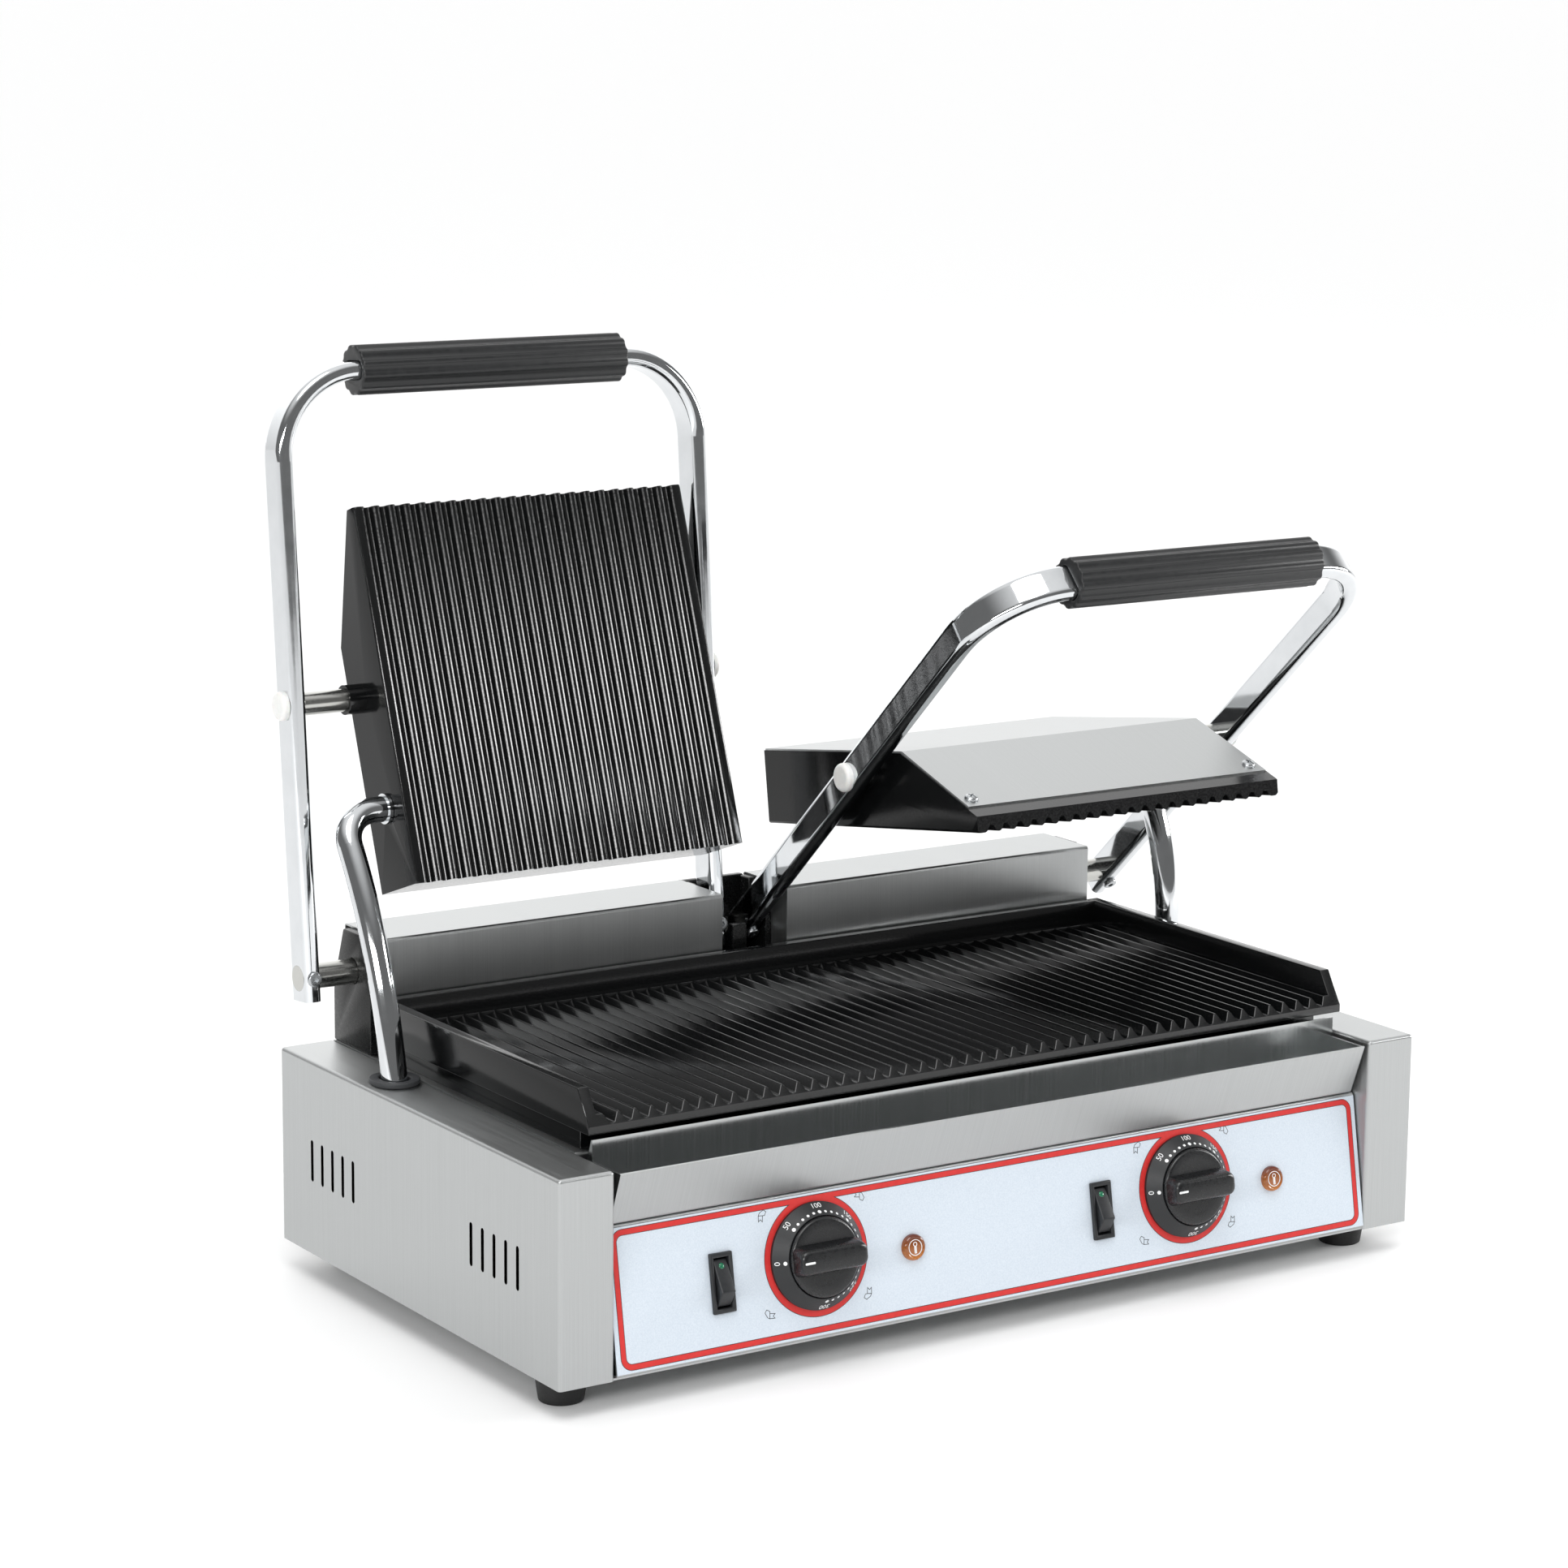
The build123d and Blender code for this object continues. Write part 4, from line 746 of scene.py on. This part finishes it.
def buildCoverScrews(side, name):
    look = coverScrewLook
    armAlong, armUp = lidAxes(lidLook["arms"][name])
    front, top = lidAxes(lidLook["plates"][name])
    pivot = Vector((0, lidLook["hinge"][0], lidLook["hinge"][1])) + armAlong * lidLook["pinReach"]
    size = math.hypot(look["run"], look["fall"])
    normal = front * (look["fall"] / size) + top * (look["run"] / size)
    upSlope = normal.cross(Vector((1, 0, 0)))
    centreX = side * sum(lidLook["plateX"]) / 2
    screws = []
    for end in (-1, 1):
        r, h = look["head"], look["height"]
        profile = [(look["shank"], -look["length"]), (look["shank"], 0.0), (r, 0.0), (r, 0.7),
                   (r - 0.25, 1.4), (r - 0.9, 2.0), (r - 2.0, h - 0.1), (0.3, h)]
        shape = loft([circleLoop(radius, z, 40) for radius, z in profile])
        length, width = look["slot"]
        for turn in look["blades"]:  # the two arms of the cross
            blade = loft([roundedLoop(length, width, 0.2, z, 2) for z in (h - 1.3, h + 1.0)])
            shape = carve(shape, stand(blade, Matrix.Rotation(math.radians(turn), 4, "Z")))
        spot = pivot + front * look["edge"][0] + top * look["edge"][1]
        spot += normal * look["sheet"] + upSlope * look["inset"]
        spot.x = centreX + end * look["reach"]
        screws.append(stand(shape, standAt(spot, (1, 0, 0), normal)))
    addPiece(name + "_cover_screws_finish", joinShapes(screws), zinc, name + "_plate",
             (name + "_cover_screws",), sharp=30.0)


for side, name in sides:
    buildSetScrews(side, name)
    buildCoverScrews(side, name)
print("screws built")


# Cord gland on the back: two hexagon nuts and a ribbed collar round the bore
glandShape = {"spot": (190.0, 153.0, 51.3), "radius": 9.0, "bore": 4.5, "nut": 13.0, "nutHeight": 4.0,
              "out": 16.0, "sheet": 1.2, "ribs": 22}


def ribbedLoop(radius, depth, z, ribs):
    loop = []
    for i in range(ribs):
        for part, cut in ((0.0, 0.0), (0.35, 0.0), (0.5, depth), (0.85, depth)):
            a = 2 * math.pi * (i + part) / ribs
            loop.append(Vector(((radius - cut) * math.cos(a), (radius - cut) * math.sin(a), z)))
    return loop


def buildGland():
    look = glandShape
    r, out, nut, tall = look["radius"], look["out"], look["nut"], look["nutHeight"]
    profile = ((r - 1.0, 0.0, -out), (r - 1.0, 0.0, tall), (r, 0.5, tall + 0.2), (r, 0.5, out - 4.0),
               (r - 1.2, 0.1, out - 1.2), (r - 2.6, 0.0, out))
    collar = loft([ribbedLoop(radius, depth, z, look["ribs"]) for radius, depth, z in profile])
    pieces = [carve(collar, loft([circleLoop(look["bore"], z, 40) for z in (-out - 1, out + 1)]))]
    for foot in (-tall - look["sheet"], 0.0):
        profile = ((nut - 0.6, foot), (nut, foot + 0.6), (nut, foot + tall - 0.6), (nut - 0.6, foot + tall))
        ring = loft([circleLoop(radius, z, 6) for radius, z in profile])
        bore = loft([circleLoop(r - 1.0, z, 40) for z in (foot - 1, foot + tall + 1)])
        pieces.append(carve(ring, bore))
    shape = stand(joinShapes(pieces), standAt(look["spot"], (-1, 0, 0), (0, 1, 0)))
    addPiece("cord_gland_finish", shape, glandNylon, "base", ("cord_gland",), sharp=30.0)


buildGland()
print("gland built")


# Finishes of the CAD nodes that keep their own shape
plainNodes = {"base_pan": stainless, "chassis_deck": stainless, "control_panel": stainless,
              "panel_overlay": film, "drip_tray": traySteel}
pairedNodes = {"side_cover": coverSteel, "spring_cover": stainless, "upper_cover": stainless,
               "dial_plate": dialPlastic, "thermostat": phenolic, "lower_heater": sheath,
               "upper_heater": sheath, "hinge_shaft": nickel, "handle_bar": chrome, "outer_pivot_pin": nickel,
               "inner_pivot_pin": nickel, "outer_cap": capPlastic, "inner_cap": capPlastic, "conduit": chrome}
for side, name in sides:
    plainNodes.update({name + "_" + node: finish for node, finish in pairedNodes.items()})
for node, finish in plainNodes.items():
    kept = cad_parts[node]
    kept.data.materials.clear()
    kept.data.materials.append(finish)
print("CAD nodes finished")


# Floor and studio light
studioLook = {
    "floor": "#FBFBFB", "floorSize": 400.0, "fibre": 3.0, "floorRoughness": (0.85, 0.95), "floorShine": 0.1,
    "room": 0.18,
    "boxes": (((0.36, 0.92, 0.10), 0.45, 0.90, 1.50), ((0.0, 0.0, 1.0), 0.50, 0.95, 0.80)),
    "key": {"toward": (-0.30, -0.45, 1.30), "energy": 0.97, "spread": 34.0},
    "stripAim": (-0.13, 0.10, 0.35), "stripAway": 4.0,
    "strips": ({"name": "left_strip", "toward": (-0.73, -0.61, 0.31), "along": (0.68, -0.69, 0.24),
                "size": (2.8, 0.5), "watts": 62.0},
               {"name": "right_strip", "toward": (0.93, -0.32, 0.21), "along": (0.37, 0.87, -0.31),
                "size": (3.0, 0.5), "watts": 72.0})}


def layFloor(look):
    mesh = bpy.data.meshes.new("floor")
    half = look["floorSize"]
    corners = [(-half, -half, 0), (half, -half, 0), (half, half, 0), (-half, half, 0)]
    mesh.from_pydata(corners, [], [(0, 1, 2, 3)])
    floor = bpy.data.objects.new("floor", mesh)
    scene.collection.objects.link(floor)
    material, tree, place = startMaterial("matt_white_paper")
    fibre = addNode(tree, "ShaderNodeTexNoise", inputs={
        "Vector": place.outputs["Object"], "Scale": 1 / (look["fibre"] * mm), "Detail": 2.0})
    rough = addNode(tree, "ShaderNodeMapRange", inputs={
        "Value": fibre.outputs[0], "To Min": look["floorRoughness"][0], "To Max": look["floorRoughness"][1]})
    closeMaterial(tree, {"Base Color": linearColour(look["floor"]), "Roughness": rough.outputs[0],
                         "Specular IOR Level": look["floorShine"]})
    mesh.materials.append(material)


def lightRoom(look):
    world = bpy.data.worlds.new("studio")
    scene.world = world
    world.use_nodes = True
    tree = world.node_tree
    tree.nodes.clear()
    direction = addNode(tree, "ShaderNodeTexCoord")
    total = None
    for toward, edge, core, strength in look["boxes"]:  # soft boxes of light round the room
        near = addNode(tree, "ShaderNodeVectorMath", {"operation": "DOT_PRODUCT"}, {
            0: direction.outputs["Generated"], 1: Vector(toward).normalized()})
        lobe = addNode(tree, "ShaderNodeMapRange", {"interpolation_type": "SMOOTHSTEP"}, {
            "Value": near.outputs["Value"], "From Min": edge, "From Max": core,
            "To Min": 0.0 if total else look["room"], "To Max": strength})
        total = addNode(tree, "ShaderNodeMath", {"operation": "ADD"}, {
            0: lobe.outputs[0], 1: total.outputs[0]}) if total else lobe
    light = addNode(tree, "ShaderNodeBackground", inputs={
        "Color": (1, 1, 1, 1), "Strength": total.outputs[0]})
    addNode(tree, "ShaderNodeOutputWorld", inputs={"Surface": light.outputs[0]})


def hangLamps(look):
    key = look["key"]
    lamp = bpy.data.lights.new("key", "SUN")
    lamp.energy = key["energy"]
    lamp.angle = math.radians(key["spread"])
    holder = bpy.data.objects.new("key", lamp)
    scene.collection.objects.link(holder)
    holder.rotation_euler = Vector(key["toward"]).to_track_quat("Z", "Y").to_euler()
    for strip in look["strips"]:  # long low boxes that draw the bright lines along ribs and chrome
        lamp = bpy.data.lights.new(strip["name"], "AREA")
        lamp.shape = "RECTANGLE"
        lamp.size, lamp.size_y = strip["size"]
        lamp.energy = strip["watts"]
        holder = bpy.data.objects.new(strip["name"], lamp)
        scene.collection.objects.link(holder)
        holder.visible_camera = False
        out = Vector(strip["toward"]).normalized()
        upward = out.cross(Vector(strip["along"])).normalized()
        turned = Matrix((upward.cross(out), upward, out)).transposed().to_4x4()
        holder.matrix_world = Matrix.Translation(Vector(look["stripAim"]) + out * look["stripAway"]) @ turned


layFloor(studioLook)
lightRoom(studioLook)
hangLamps(studioLook)
print("studio lit")
